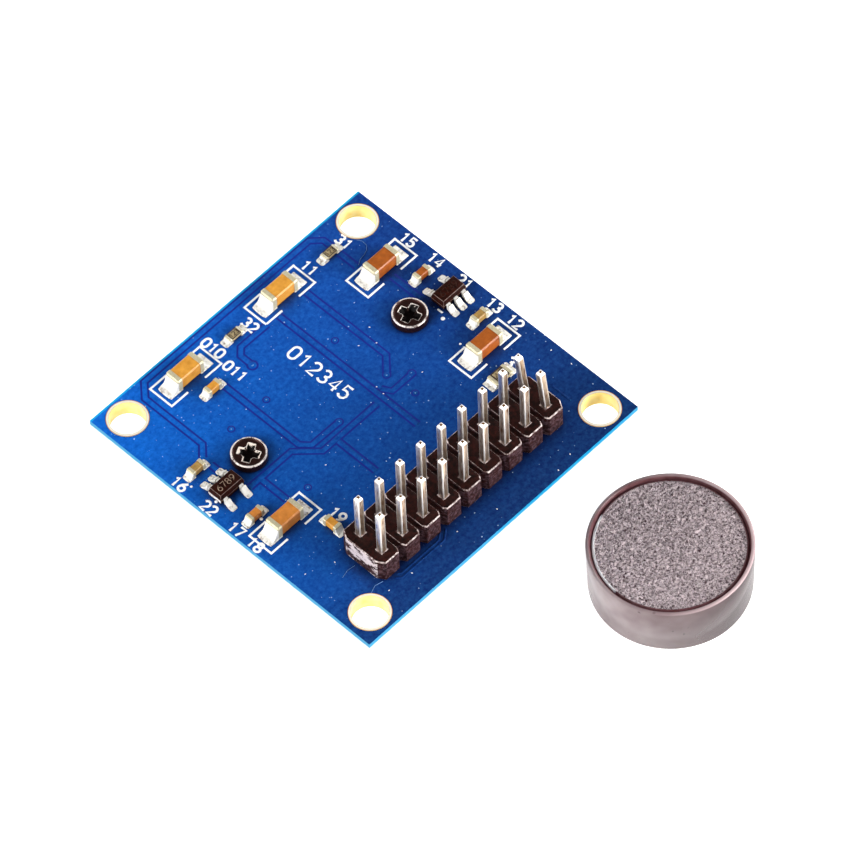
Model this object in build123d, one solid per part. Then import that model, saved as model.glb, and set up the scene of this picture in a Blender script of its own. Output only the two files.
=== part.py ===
from build123d import *
import os
from math import asin, atan, cos, degrees, pi, sin

# A small camera board, lying on its lens with the pin side up, and its lens cap beside it.
# Origin: centre of the four corner holes, on the board's pin side. +Z points up out of
# that side, +X runs along the pin rows and +Y away from them. All sizes in millimetres.

# Board thickness, and the plated corner holes with their distance from the board's edges
board_t = 1.6
corner_spacing_x = 28.6
corner_spacing_y = 29.3
corner_edge_x = 2.4
corner_edge_y = 2.25
corner_bore_r = 1.65
plating_t = 0.08
land_w = 0.26
land_t = 0.04

# Pin header
pitch = 2.54
pin_columns = 9
pin_rows = 2
header_y = -10.86
housing_h = 2.54
notch_w = 0.92
notch_depth = 0.76
housing_bevel = 0.1
groove_w = 0.5
groove_depth = 0.25
pin_w = 0.64
pin_top_z = 7.9
pin_tail = 1.5
pin_point_w = 0.28
pin_point_l = 0.4
pin_hole_r = 0.5
pin_hole_facets = 12
joint_r = 0.85
joint_tip_r = 0.42
joint_h = 0.9
# Sideways shift of the tips of the last column, whose two pins were bent in handling
bent_front = (-0.42, 0.08)
bent_back = (-0.45, 0.14)

# Large ceramic capacitors, long side along X: centre of each on the board
large_l = 3.2
large_w = 1.6
large_h = 1.5
large_band = 0.5
large_edge = 0.12
large_at = {
    "c1": (4.0, 14.13),
    "c2": (12.1, -2.92),
    "c5": (12.13, 9.6),
    "c8": (-12.71, -2.96),
    "c10": (-7.72, 14.07),
}

# Small ceramic capacitors: centre, and True where the long side runs along Y
small_l = 1.6
small_w = 0.8
small_h = 0.8
small_band = 0.35
small_edge = 0.06
small_at = {
    "c3": (14.05, -0.45, False),
    "c4": (13.9, 6.4, False),
    "c6": (-14.1, 6.4, False),
    "c7": (-14.05, -0.65, False),
    "c9": (-10.2, -6.2, True),
    "c11": (-7.15, 11.3, False),
}

# Metal end caps that wrap each ceramic chip, and the solder at its ends
end_wall = 0.04
large_fillet_l = 0.85
large_fillet_h = 1.25
small_fillet_l = 0.42
small_fillet_h = 0.6
fillet_lip_h = 0.08
fillet_rim_l = 0.04

# Chip resistors: centre, length, width and height
resistor_at = {
    "r1": (10.1, 13.95, 1.6, 0.8, 0.45),
    "r2": (-1.85, 13.97, 1.6, 0.8, 0.45),
    "r3": (10.78, -6.05, 2.0, 1.25, 0.5),
}
resistor_band = 0.3
resistor_edge = 0.05
resistor_fillet_l = 0.4
resistor_fillet_drop = 0.1

# Two five-lead voltage regulators: centre, and the side in Y of their three-lead row
regulator_at = {"u1": (13.97, 3.2), "u2": (-13.75, 3.12)}
regulator_three_side = {"u1": -1, "u2": 1}
regulator_x = 2.9
regulator_y = 1.6
regulator_gap = 0.1
regulator_mid_z = 0.6
regulator_top_z = 1.15
regulator_draft = 0.14
lead_pitch = 0.95
lead_w = 0.4
lead_t = 0.15
lead_span = 2.9
lead_reach_l = 0.05
lead_lean_w = 0.06
toe_l = 0.22
toe_h = 0.14

# Lens holder, screwed to the lens side with its axis between the two screws
lens_x = 0.0
lens_y = 4.07
screw_spacing = 20.0
holder_h = 10.5
base_w = 14.6
base_h = 5.2
base_corner_r = 1.2
tower_r = 7.1
cavity_w = 10.6
cavity_h = 3.4
filter_w = 8.4
filter_t = 0.55
filter_gap = 0.1
ledge_t = 1.6
window_w = 6.6
ear_r = 2.3
ear_h = 3.8
gusset_t = 1.0
gusset_h = 3.7
gusset_clear = 0.35
gusset_sink = 0.4
thread_bore_r = 6.0

# Self-tapping pan head screws
screw_head_r = 1.65
screw_head_h = 0.95
screw_head_bevel = 0.38
screw_shank_r = 0.85
screw_l = 5.2
screw_point_l = 0.8
board_clear_r = 1.05
pilot_r = 0.76
cross_span = 2.0
cross_w = 0.46
cross_depth = 0.55
cross_taper_deg = 8.0
cross_turn = (28.0, 12.0)

# Lens in its barrel, threaded into the holder
thread_clearance = 0.05
thread_l = 6.0
head_gap = 1.0
head_r = 6.5
head_l = 4.5
flutes = 30
flute_r = 0.28
flute_l = 2.6
barrel_edge = 0.25
barrel_bore_r = 4.4
rear_wall = 1.6
rear_window_r = 2.6
retainer_step = 0.8
retainer_t = 0.9
retainer_lip = 0.8
retainer_flare_w = 0.7
retainer_flare_l = 0.6
retainer_set_back = 0.15
glass_clearance = 0.04
front_glass_t = 1.2
front_glass_bulge = 0.75
front_glass_dish = 0.3
middle_glass_t = 1.0
middle_glass_dish = 0.25
rear_glass_t = 1.4
rear_glass_bulge = 0.35
stop_t = 0.4
stop_r = 1.0
spacer_wall = 0.9

# Image sensor on the lens side of the board, under the lens
sensor_x = 4.2
sensor_y = 3.8
sensor_base_t = 0.35
sensor_glass_t = 0.4
sensor_glass_step = 0.15

# Lens cap, lying mouth down beside the board on the surface that the lens stands on
cap_x = 13.9
cap_y = -23.3
cap_h = 5.8
cap_face_r = 7.45
cap_mouth_r = 7.32
cap_bore_r = 6.6
cap_face_t = 1.0
cap_rim_w = 0.62
cap_rim_h = 0.35
cap_rim_draft = 0.05
cap_edge = 0.16

# Board size and levels that follow from the sizes above
board_x = corner_spacing_x + 2 * corner_edge_x
board_y = corner_spacing_y + 2 * corner_edge_y
board_under_z = -board_t
holder_end_z = board_under_z - holder_h
head_back_z = holder_end_z - head_gap
floor_z = head_back_z - head_l
barrel_rear_z = head_back_z + thread_l

parts = {}


def block(x_size, y_size, z_low, z_high, x=0.0, y=0.0):
    """A plain box between two levels, centred on x and y."""
    return Pos(x, y, (z_low + z_high) / 2) * Box(x_size, y_size, z_high - z_low)


def rod(r, z_low, z_high, x=0.0, y=0.0):
    """An upright cylinder between two levels."""
    return Pos(x, y, (z_low + z_high) / 2) * Cylinder(r, z_high - z_low)


def tapered(sections):
    """A solid through rectangles given as (x size, y size, x, y, z), with straight sides."""
    outlines = [Pos(x, y, z) * Rectangle(dx, dy) for dx, dy, x, y, z in sections]
    return loft([outline.face() for outline in outlines], ruled=True)


def turned(points, x, y):
    """A solid of revolution about an upright axis, from an outline of (radius, z)."""
    outline = Plane.XZ * make_face(Polyline(*points, close=True))
    return Pos(x, y, 0) * revolve(outline, Axis.Z)


def together(solids):
    """One node that holds several separate solids."""
    return Compound(children=list(solids))


# Board, its corner plating and its header


def corner_points():
    return [
        (sx * corner_spacing_x / 2, sy * corner_spacing_y / 2)
        for sx in (-1, 1)
        for sy in (-1, 1)
    ]


def screw_points():
    return [(lens_x + s * screw_spacing / 2, lens_y) for s in (-1, 1)]


def pin_points():
    """Pin axes, front row first, from the broken-off end of the header."""
    x_first = -pitch * (pin_columns - 1) / 2
    y_first = header_y - pitch * (pin_rows - 1) / 2
    return [
        (x_first + column * pitch, y_first + row * pitch, column, row)
        for row in range(pin_rows)
        for column in range(pin_columns)
    ]


def make_board():
    board = block(board_x, board_y, board_under_z, 0)
    for x, y in corner_points():
        board -= rod(corner_bore_r + plating_t, board_under_z, 0, x, y)
    for x, y in screw_points():
        board -= rod(board_clear_r, board_under_z, 0, x, y)
    for x, y, *_ in pin_points():
        hole = RegularPolygon(pin_hole_r, pin_hole_facets)
        board -= extrude(Pos(x, y, board_under_z) * hole, amount=board_t)
    return board


def make_corner_plating():
    """Each hole's copper: a thin tube through the board with a ring on both faces."""
    tube_r = corner_bore_r + plating_t
    ring_r = corner_bore_r + land_w
    outline = [
        (corner_bore_r, board_under_z - land_t),
        (ring_r, board_under_z - land_t),
        (ring_r, board_under_z),
        (tube_r, board_under_z),
        (tube_r, 0),
        (ring_r, 0),
        (ring_r, land_t),
        (corner_bore_r, land_t),
    ]
    return together(turned(outline, x, y) for x, y in corner_points())


def make_pin(x, y, column, row):
    """A square pin with four-sided points, bent above the housing in the last column."""
    shift_x, shift_y = 0.0, 0.0
    if column == pin_columns - 1:
        shift_x, shift_y = bent_front if row == 0 else bent_back
    section = Rectangle(pin_w, pin_w)
    point_draft = degrees(atan((pin_w - pin_point_w) / 2 / pin_point_l))
    point = extrude(section, amount=pin_point_l, taper=point_draft)
    foot_z = board_under_z - pin_tail + pin_point_l
    shoulder_z = pin_top_z - pin_point_l
    lean = Vector(shift_x, shift_y, shoulder_z - housing_h)
    pin = block(pin_w, pin_w, foot_z, housing_h, x, y)
    pin += extrude(Pos(x, y, housing_h) * section, amount=lean.length, dir=lean)
    pin += Pos(x + shift_x, y + shift_y, shoulder_z) * point
    return pin + Pos(x, y, foot_z) * Rot(180, 0, 0) * point


def make_housing():
    """Moulded strip of eight-sided cells, notched and grooved where it snaps apart."""
    cell_y = pitch * pin_rows
    neck_y = cell_y / 2 - notch_depth
    flat = pitch - notch_w
    x_start = -pitch * pin_columns / 2
    front = []
    for column in range(pin_columns):
        x_cell = x_start + column * pitch
        front += [
            (x_cell, -neck_y),
            (x_cell + notch_w / 2, -cell_y / 2),
            (x_cell + notch_w / 2 + flat, -cell_y / 2),
        ]
    front.append((x_start + pin_columns * pitch, -neck_y))
    back = [(x, -y) for x, y in reversed(front)]
    outline = make_face(Polyline(*(front + back), close=True))
    strip = extrude(outline, amount=housing_h)
    strip = chamfer(strip.edges().group_by(Axis.Z)[-1], housing_bevel)
    housing = Pos(0, header_y, 0) * strip
    for column in range(1, pin_columns):
        x_groove = x_start + column * pitch
        housing -= block(
            groove_w, cell_y, housing_h - groove_depth, housing_h, x_groove, header_y
        )
    for x, y, *_ in pin_points():
        housing -= block(pin_w, pin_w, 0, housing_h, x, y)
    return housing


def make_header_joints(pins):
    """Solder that rises in a many-sided cone round each pin on the lens side."""
    flat_share = cos(pi / pin_hole_facets)
    draft = degrees(atan((joint_r - joint_tip_r) * flat_share / joint_h))
    foot = RegularPolygon(joint_r, pin_hole_facets)
    cone = Rot(180, 0, 0) * extrude(foot, amount=joint_h, taper=draft)
    points = [(x, y) for x, y, *_ in pin_points()]
    return together(Pos(x, y, board_under_z) * cone - pin for (x, y), pin in zip(points, pins))


# Chip parts on the pin side


def bevelled_chip(length, width, height, edge):
    """A chip body standing on the board, with all its edges bevelled."""
    body = block(length, width, 0, height)
    return chamfer(body.edges(), edge)


def place_chip(shape, x, y, along_y):
    return Pos(x, y, 0) * Rot(0, 0, 90 if along_y else 0) * shape


def make_chip(length, width, height, band, edge):
    """The ceramic body and its two metal end caps, which wrap the body's ends."""
    body = Pos(0, 0, end_wall) * bevelled_chip(
        length - 2 * end_wall, width - 2 * end_wall, height - 2 * end_wall, edge
    )
    wrap = bevelled_chip(length, width, height, edge)
    ends = []
    for side in (-1, 1):
        reach = block(band, width, 0, height, side * (length - band) / 2)
        ends.append((wrap & reach) - body)
    return body, ends


def end_fillets(length, width, reach, rise):
    """Solder that climbs both end faces of a chip in a hollow curve, steepest at the top."""
    run, drop = reach - fillet_rim_l, rise - fillet_lip_h
    curve_r = (run**2 + drop**2) / (2 * run)
    half_turn = asin(drop / curve_r) / 2
    across = fillet_rim_l + curve_r * (1 - cos(half_turn))
    down = rise - curve_r * sin(half_turn)
    fillets = []
    for side in (-1, 1):
        foot = side * length / 2
        toe = foot + side * reach
        rim = foot + side * fillet_rim_l
        outline = [
            Line((foot, rise), (foot, 0)),
            Line((foot, 0), (toe, 0)),
            Line((toe, 0), (toe, fillet_lip_h)),
            ThreePointArc((toe, fillet_lip_h), (foot + side * across, down), (rim, rise)),
            Line((rim, rise), (foot, rise)),
        ]
        fillets.append(extrude(Plane.XZ * make_face(outline), amount=width / 2, both=True))
    return fillets


def make_regulator(x, y, three_side):
    """Moulded body with drafted sides and five leads bent down to the board."""
    low_x, low_y = regulator_x - regulator_draft, regulator_y - regulator_draft
    top_x, top_y = regulator_x - 2 * regulator_draft, regulator_y - 2 * regulator_draft
    body = tapered(
        [
            (low_x, low_y, x, y, regulator_gap),
            (regulator_x, regulator_y, x, y, regulator_mid_z),
            (top_x, top_y, x, y, regulator_top_z),
        ]
    )
    half = regulator_y / 2
    tip = lead_span / 2
    under, over = regulator_mid_z - lead_t / 2, regulator_mid_z + lead_t / 2
    bend = half + lead_reach_l
    heel = bend + lead_lean_w
    outline = [
        (half, under),
        (bend, under),
        (heel, 0),
        (tip, 0),
        (tip, lead_t),
        (heel + lead_t, lead_t),
        (bend + lead_t, over),
        (half, over),
    ]
    leads, toes = [], []
    toe_outline = [(tip, 0), (tip + toe_l, 0), (tip, toe_h)]
    columns = {three_side: (-1, 0, 1), -three_side: (-1, 1)}
    for side, steps in columns.items():
        for step in steps:
            lead_x = x + step * lead_pitch
            for points, kept in ((outline, leads), (toe_outline, toes)):
                sheet = make_face(Polyline(*[(side * v, z) for v, z in points], close=True))
                strip = extrude(Plane.YZ * sheet, amount=lead_w / 2, both=True)
                kept.append(Pos(lead_x, y, 0) * strip)
    return body, leads, toes


# Lens holder and its screws


def rounded_plate(side, corner_r, z_low, z_high, x, y):
    plate = extrude(RectangleRounded(side, side, corner_r), amount=z_high - z_low)
    return Pos(x, y, z_low) * plate


def make_holder():
    """One moulding: square base with two screw ears, and a round tower for the thread."""
    base_end_z = board_under_z - base_h
    holder = rounded_plate(
        base_w, base_corner_r, base_end_z, board_under_z, lens_x, lens_y
    )
    holder += rod(tower_r, holder_end_z, board_under_z, lens_x, lens_y)
    ear_end_z = board_under_z - ear_h
    for x, y in screw_points():
        side = 1 if x > lens_x else -1
        reach = screw_spacing / 2 - base_w / 2 + base_corner_r
        holder += rod(ear_r, ear_end_z, board_under_z, x, y)
        holder += block(reach, 2 * ear_r, ear_end_z, board_under_z, x - side * reach / 2, y)
        holder += make_gusset(side, ear_end_z)
    holder = holder - block(
        cavity_w, cavity_w, board_under_z - cavity_h, board_under_z, lens_x, lens_y
    )
    pocket_end_z = board_under_z - cavity_h - filter_t
    pocket_w = filter_w + 2 * filter_gap
    holder -= block(
        pocket_w, pocket_w, pocket_end_z, board_under_z - cavity_h, lens_x, lens_y
    )
    holder -= block(window_w, window_w, holder_end_z, pocket_end_z, lens_x, lens_y)
    bore_top_z = board_under_z - cavity_h - ledge_t
    holder -= rod(thread_bore_r, holder_end_z, bore_top_z, lens_x, lens_y)
    for x, y in screw_points():
        holder -= rod(pilot_r, ear_end_z, board_under_z, x, y)
    return holder


def make_gusset(side, ear_end_z):
    """Upright rib from an ear to the tower, sloping away from the board."""
    outer = side * (screw_spacing / 2 - pilot_r - gusset_clear)
    inner = side * (tower_r - gusset_sink)
    slope = [(outer, ear_end_z), (inner, ear_end_z), (inner, ear_end_z - gusset_h)]
    outline = Plane.XZ * make_face(Polyline(*slope, close=True))
    return Pos(lens_x, lens_y, 0) * extrude(outline, amount=gusset_t / 2, both=True)


def make_screw(x, y, turn):
    """Pan head with a cross recess on the pin side, and a plain pointed shank below."""
    head = rod(screw_head_r, 0, screw_head_h, x, y)
    rim = head.edges().group_by(Axis.Z)[-1]
    head = chamfer(rim, screw_head_bevel)
    arms = Rectangle(cross_span, cross_w) + Rectangle(cross_w, cross_span)
    recess = extrude(arms, amount=-cross_depth, taper=cross_taper_deg)
    head -= Pos(x, y, screw_head_h) * Rot(0, 0, turn) * recess
    straight_end_z = -(screw_l - screw_point_l)
    shank = turned(
        [(0, 0), (screw_shank_r, 0), (screw_shank_r, straight_end_z), (0, -screw_l)], x, y
    )
    return head + shank


# Lens barrel, its glass and the rings that hold it


def make_barrel():
    """Threaded tube with a fluted head, bored from the front down to a rear shoulder."""
    thread_r = thread_bore_r - thread_clearance
    shoulder_z = barrel_rear_z - rear_wall
    seat_z = floor_z + retainer_set_back + retainer_t
    profile = [
        (rear_window_r, barrel_rear_z),
        (thread_r, barrel_rear_z),
        (thread_r, head_back_z),
        (head_r, head_back_z),
        (head_r, floor_z + barrel_edge),
        (head_r - barrel_edge, floor_z),
        (barrel_bore_r + retainer_step, floor_z),
        (barrel_bore_r + retainer_step, seat_z),
        (barrel_bore_r, seat_z),
        (barrel_bore_r, shoulder_z),
        (rear_window_r, shoulder_z),
    ]
    barrel = turned(profile, lens_x, lens_y)
    flute_low_z = head_back_z - (head_l + flute_l) / 2
    for step in range(flutes):
        angle = 2 * pi * step / flutes
        x = lens_x + head_r * cos(angle)
        y = lens_y + head_r * sin(angle)
        groove = block(flute_r * 2, flute_r * 2, flute_low_z, flute_low_z + flute_l)
        barrel -= Pos(x, y, 0) * Rot(0, 0, angle * 180 / pi + 45) * groove
    return barrel


def spherical_cap(z, way, face_r, rise):
    """The part of a ball that stands out by rise from a disc of radius face_r at z."""
    ball_r = (face_r**2 + rise**2) / (2 * rise)
    ball = Pos(lens_x, lens_y, z + way * (rise - ball_r)) * Rot(90, 0, 0) * Sphere(ball_r)
    low, high = sorted((z, z + way * 2 * rise))
    return rod(face_r, low, high, lens_x, lens_y) & ball


def make_glass(z_front, edge_t, front_shape, rear_shape):
    """
    A round lens from its front edge level. Each face has a spherical part as wide as the
    spacers' openings; a shape above zero stands out, below zero it is hollow.
    """
    r = barrel_bore_r - glass_clearance
    face_r = r - spacer_wall
    glass = rod(r, z_front, z_front + edge_t, lens_x, lens_y)
    faces = ((z_front, -1, front_shape), (z_front + edge_t, 1, rear_shape))
    for z, outward, shape in faces:
        if shape > 0:
            glass += spherical_cap(z, outward, face_r, shape)
        elif shape < 0:
            glass -= spherical_cap(z, -outward, face_r, -shape)
    return glass


def make_ring(z_low, z_high, inner_r, outer_r):
    return rod(outer_r, z_low, z_high, lens_x, lens_y) - rod(
        inner_r, z_low, z_high, lens_x, lens_y
    )


def make_retainer():
    """Ring screwed into the front of the barrel, with its window flared outwards."""
    z_front = floor_z + retainer_set_back
    z_seat = z_front + retainer_t
    ring_r = barrel_bore_r + retainer_step
    window_r = barrel_bore_r - retainer_lip
    profile = [
        (window_r, z_seat),
        (ring_r, z_seat),
        (ring_r, z_front),
        (window_r + retainer_flare_w, z_front),
        (window_r, z_front + retainer_flare_l),
    ]
    return turned(profile, lens_x, lens_y)


def make_lens_stack():
    """The glass, stop and spacers, stacked from the retaining ring to the rear shoulder."""
    ring_r = barrel_bore_r - glass_clearance
    opening_r = ring_r - spacer_wall
    stack_front_z = floor_z + retainer_set_back + retainer_t
    stack_rear_z = barrel_rear_z - rear_wall
    glass_total = front_glass_t + middle_glass_t + rear_glass_t + stop_t
    spacer_l = (stack_rear_z - stack_front_z - glass_total) / 2
    stack = {}
    z = stack_front_z
    stack["front_lens"] = make_glass(z, front_glass_t, front_glass_bulge, -front_glass_dish)
    z += front_glass_t
    stack["front_spacer"] = make_ring(z, z + spacer_l, opening_r, ring_r)
    z += spacer_l
    stack["middle_lens"] = make_glass(
        z, middle_glass_t, -middle_glass_dish, -middle_glass_dish
    )
    z += middle_glass_t
    stack["aperture_stop"] = make_ring(z, z + stop_t, stop_r, ring_r)
    z += stop_t
    stack["rear_lens"] = make_glass(z, rear_glass_t, front_shape=0, rear_shape=rear_glass_bulge)
    z += rear_glass_t
    stack["rear_spacer"] = make_ring(z, z + spacer_l, opening_r, ring_r)
    return stack


# Lens cap


def make_cap():
    """Push-on cap: a drafted wall, a closed face set down inside a narrow raised rim."""
    top_z = floor_z + cap_h
    floor_of_recess_z = top_z - cap_rim_h
    inside_z = floor_of_recess_z - cap_face_t
    profile = [
        (0, inside_z),
        (cap_bore_r, inside_z),
        (cap_bore_r, floor_z),
        (cap_mouth_r, floor_z),
        (cap_face_r, top_z - cap_edge),
        (cap_face_r - cap_edge, top_z),
        (cap_face_r - cap_rim_w, top_z),
        (cap_face_r - cap_rim_w - cap_rim_draft, floor_of_recess_z),
        (0, floor_of_recess_z),
    ]
    return turned(profile, cap_x, cap_y)


parts["board"] = make_board()
parts["corner_plating"] = make_corner_plating()

header_pins = [make_pin(*point) for point in pin_points()]
parts["header_housing"] = make_housing()
parts["header_pins"] = together(header_pins)
parts["header_joints"] = make_header_joints(header_pins)

capacitor_solder = []
for name, (x, y) in large_at.items():
    body, ends = make_chip(large_l, large_w, large_h, large_band, large_edge)
    parts[f"capacitor_{name}"] = place_chip(body, x, y, False)
    parts[f"capacitor_{name}_ends"] = together(place_chip(end, x, y, False) for end in ends)
    fillets = end_fillets(large_l, large_w, large_fillet_l, large_fillet_h)
    capacitor_solder += [place_chip(f, x, y, False) for f in fillets]
for name, (x, y, along_y) in small_at.items():
    body, ends = make_chip(small_l, small_w, small_h, small_band, small_edge)
    parts[f"capacitor_{name}"] = place_chip(body, x, y, along_y)
    parts[f"capacitor_{name}_ends"] = together(
        place_chip(end, x, y, along_y) for end in ends
    )
    fillets = end_fillets(small_l, small_w, small_fillet_l, small_fillet_h)
    capacitor_solder += [place_chip(f, x, y, along_y) for f in fillets]
parts["capacitor_solder"] = together(capacitor_solder)

resistor_ends, resistor_solder = [], []
for name, (x, y, length, width, height) in resistor_at.items():
    body, ends = make_chip(length, width, height, resistor_band, resistor_edge)
    parts[f"resistor_{name}"] = place_chip(body, x, y, False)
    resistor_ends += [place_chip(end, x, y, False) for end in ends]
    fillets = end_fillets(length, width, resistor_fillet_l, height - resistor_fillet_drop)
    resistor_solder += [place_chip(f, x, y, False) for f in fillets]
parts["resistor_ends"] = together(resistor_ends)
parts["resistor_solder"] = together(resistor_solder)

regulator_leads, regulator_solder = [], []
for name, (x, y) in regulator_at.items():
    body, leads, toes = make_regulator(x, y, regulator_three_side[name])
    parts[f"regulator_{name}"] = body
    regulator_leads += leads
    regulator_solder += toes
parts["regulator_leads"] = together(regulator_leads)
parts["regulator_solder"] = together(regulator_solder)

parts["lens_holder"] = make_holder()
parts["holder_screws"] = together(
    make_screw(x, y, turn) for (x, y), turn in zip(screw_points(), cross_turn)
)
filter_end_z = board_under_z - cavity_h - filter_t
parts["infrared_filter"] = block(
    filter_w, filter_w, filter_end_z, filter_end_z + filter_t, lens_x, lens_y
)

sensor_face_z = board_under_z - sensor_base_t
parts["image_sensor"] = block(
    sensor_x, sensor_y, sensor_face_z, board_under_z, lens_x, lens_y
)
parts["sensor_glass"] = block(
    sensor_x - 2 * sensor_glass_step,
    sensor_y - 2 * sensor_glass_step,
    sensor_face_z - sensor_glass_t,
    sensor_face_z,
    lens_x,
    lens_y,
)

parts["lens_barrel"] = make_barrel()
parts["retaining_ring"] = make_retainer()
parts.update(make_lens_stack())
parts["lens_cap"] = make_cap()

os.makedirs("parts", exist_ok=True)
for name, shape in parts.items():
    export_step(shape, f"parts/{name}.step")
    print(name, round(shape.volume, 3))
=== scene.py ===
"""A small camera module on a blue circuit board, seen from its pin side, with the lens cap beside it.

Sizes are in millimetres until mm() turns them to metres. The origin is the middle of the four corner holes,
on the face that carries the pins. X runs along the rows of pins, Y away from them, Z up out of the board.
"""
import math
import random

import bpy
from mathutils import Matrix, Vector


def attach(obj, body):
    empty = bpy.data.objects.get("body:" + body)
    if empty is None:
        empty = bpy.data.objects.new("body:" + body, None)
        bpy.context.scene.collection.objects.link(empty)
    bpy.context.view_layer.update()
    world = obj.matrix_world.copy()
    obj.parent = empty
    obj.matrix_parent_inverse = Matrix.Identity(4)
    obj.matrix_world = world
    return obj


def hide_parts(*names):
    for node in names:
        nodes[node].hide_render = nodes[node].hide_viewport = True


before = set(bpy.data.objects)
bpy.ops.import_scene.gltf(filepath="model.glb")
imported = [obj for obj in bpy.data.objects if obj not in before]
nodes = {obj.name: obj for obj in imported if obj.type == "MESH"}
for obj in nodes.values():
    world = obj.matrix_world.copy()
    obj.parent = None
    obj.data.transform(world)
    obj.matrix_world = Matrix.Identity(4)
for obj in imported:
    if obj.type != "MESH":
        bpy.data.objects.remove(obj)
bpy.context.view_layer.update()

# Board, the surface it lies over, and its corner holes with the middle of their gold rings
board_t = 1.6
floor_z = -17.6
corner_x = 14.3
corner_y = 14.65
ring_r = 1.765

# Pin header: two rows of square pins, and the end where the strip was snapped off
pitch = 2.54
columns = 9
middle_column = columns // 2
header_y = -10.86
housing_h = 2.54
torn_x = -11.36
pin_w = 0.64
pin_foot = -2.8
pin_shoulder = 7.6

# Lens cap: its middle, its face, and the middle of the bead round that face
cap_x = 13.9
cap_y = -23.3
cap_face_z = -12.15
cap_bead_r = 6.76

# Large and small ceramic chips, resistors: middle of each, as in the solids
large_chips = {"c1": (4.0, 14.13), "c2": (12.1, -2.92), "c5": (12.13, 9.6), "c8": (-12.71, -2.96),
               "c10": (-7.72, 14.07)}
small_chips = {
    "c3": (14.05, -0.45), "c4": (13.9, 6.4), "c6": (-14.1, 6.4), "c7": (-14.05, -0.65), "c11": (-7.15, 11.3)}
turned_chips = {"c9": (-10.2, -6.2)}
small_resistors = {"r1": (10.1, 13.95), "r2": (-1.85, 13.97)}
large_resistors = {"r3": (10.78, -6.05)}
regulators = {"u1": (13.97, 3.2), "u2": (-13.75, 3.12)}

# Where solder starts, from the middle of a chip, and the spacing and reach of the regulators' feet
large_chip_end = 1.42
small_chip_end = 0.68
small_resistor_end = 0.62
large_resistor_end = 0.85
foot_pitch = 0.95
foot_y = 1.12

# Screws: their middles with the turn of each recess, and their heads
screw_places = ((-10.0, 4.07, 28), (10.0, 4.07, 17))
recess_r = 1.3
recess_top = 0.62
worn_highlit_rim_r = 1.51
worn_highlit_rim_z = 0.72

# Printed ink
ink_w = 0.2
ink_h = 0.03
label_h = 0.98

# Copper runs under the mask
run_w = 0.5
run_h = 0.03
gap_w = 0.83
gap_h = 0.008


def mm(*values):
    """Metres from millimetres: a vector from three values, and a number from one."""
    return Vector(values) * 0.001 if len(values) > 1 else values[0] * 0.001


def srgb(colour):
    """A linear colour from its sRGB hex value, such as C8A060."""
    parts = [int(colour[i:i + 2], 16) / 255 for i in (0, 2, 4)]
    return tuple(c / 12.92 if c <= 0.04045 else ((c + 0.055) / 1.055) ** 2.4 for c in parts) + (1.0,)


def add(tree, kind, settings=None, links=None):
    """Adds one shader node. Settings are its properties and socket values. Links say what feeds a socket:
    a node, for the first output that it has in use, or a node and the name of its output."""
    made = tree.nodes.new("ShaderNode" + kind)
    for name, value in (settings or {}).items():
        if isinstance(name, int) or name in made.inputs:
            made.inputs[name].default_value = value
        else:
            setattr(made, name, value)
    for name, source in (links or {}).items():
        if isinstance(source, tuple):
            output = source[0].outputs[source[1]]
        else:
            output = next(each for each in source.outputs if each.enabled)
        tree.links.new(output, made.inputs[name])
    return made


def material(name, build, *values):
    """A material whose nodes build() adds. It gets the tree, the coordinates' node and a link to the Object
    coordinates, and gives back the shader."""
    made = bpy.data.materials.new(name)
    made.use_nodes = True
    tree = made.node_tree
    tree.nodes.clear()
    place = add(tree, "TexCoord")
    surface = build(tree, place, {"Vector": (place, "Object")}, *values)
    add(tree, "OutputMaterial", links={"Surface": surface})
    return made


def deselect():
    """Leaves nothing selected, so that a new primitive stands alone."""
    bpy.ops.object.select_all(action="DESELECT")


def pick(piece, *others):
    """Leaves only this piece active, and it and the others selected."""
    deselect()
    for each in (piece, *others):
        each.select_set(True)
    bpy.context.view_layer.objects.active = piece


def edit_all():
    """Enters edit mode with the whole piece selected."""
    bpy.ops.object.mode_set(mode="EDIT")
    bpy.ops.mesh.select_all(action="SELECT")


def select_parts(piece, kind, wanted):
    """In edit mode, selects the corners (VERT), edges (EDGE) or faces (FACE) for which wanted holds."""
    bpy.ops.object.mode_set(mode="OBJECT")
    data = piece.data
    for each, parts in (("FACE", data.polygons), ("EDGE", data.edges), ("VERT", data.vertices)):
        for part in parts:
            part.select = each == kind and bool(wanted(part))
    bpy.ops.object.mode_set(mode="EDIT")
    bpy.ops.mesh.select_mode(type=kind)


def smooth(angle):
    """Smooths the active piece across edges that turn less than an angle in degrees."""
    bpy.ops.object.shade_smooth_by_angle(angle=math.radians(angle))


def round_edges(piece, width, segments, angle=None, finish=-1):
    """Bevels the active piece's edges, in one of its finishes. With an angle, only those that turn more."""
    bpy.ops.object.modifier_add(type="BEVEL")
    rounding = piece.modifiers[-1]
    rounding.width = mm(width)
    rounding.segments = segments
    rounding.material = finish
    if angle is not None:
        rounding.limit_method = "ANGLE"
        rounding.angle_limit = math.radians(angle)
    bpy.ops.object.modifier_apply(modifier=rounding.name)


def carry(piece, name, slot, *replaced):
    """Names a finished piece, gives it its body and hides the solids that it stands for. The slot is not
    used.
    """
    piece.name = name
    piece.data.name = name
    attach(piece, "module")
    if replaced:
        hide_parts(*replaced)
    return piece


def settle(piece, name, finish, slot, *replaced):
    """Puts a finished piece's place into its mesh, gives it its one finish, and carries it."""
    pick(piece)
    bpy.ops.object.transform_apply(location=True, rotation=True, scale=True)
    piece.data.materials.clear()
    piece.data.materials.append(finish)
    return carry(piece, name, slot, *replaced)


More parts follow.
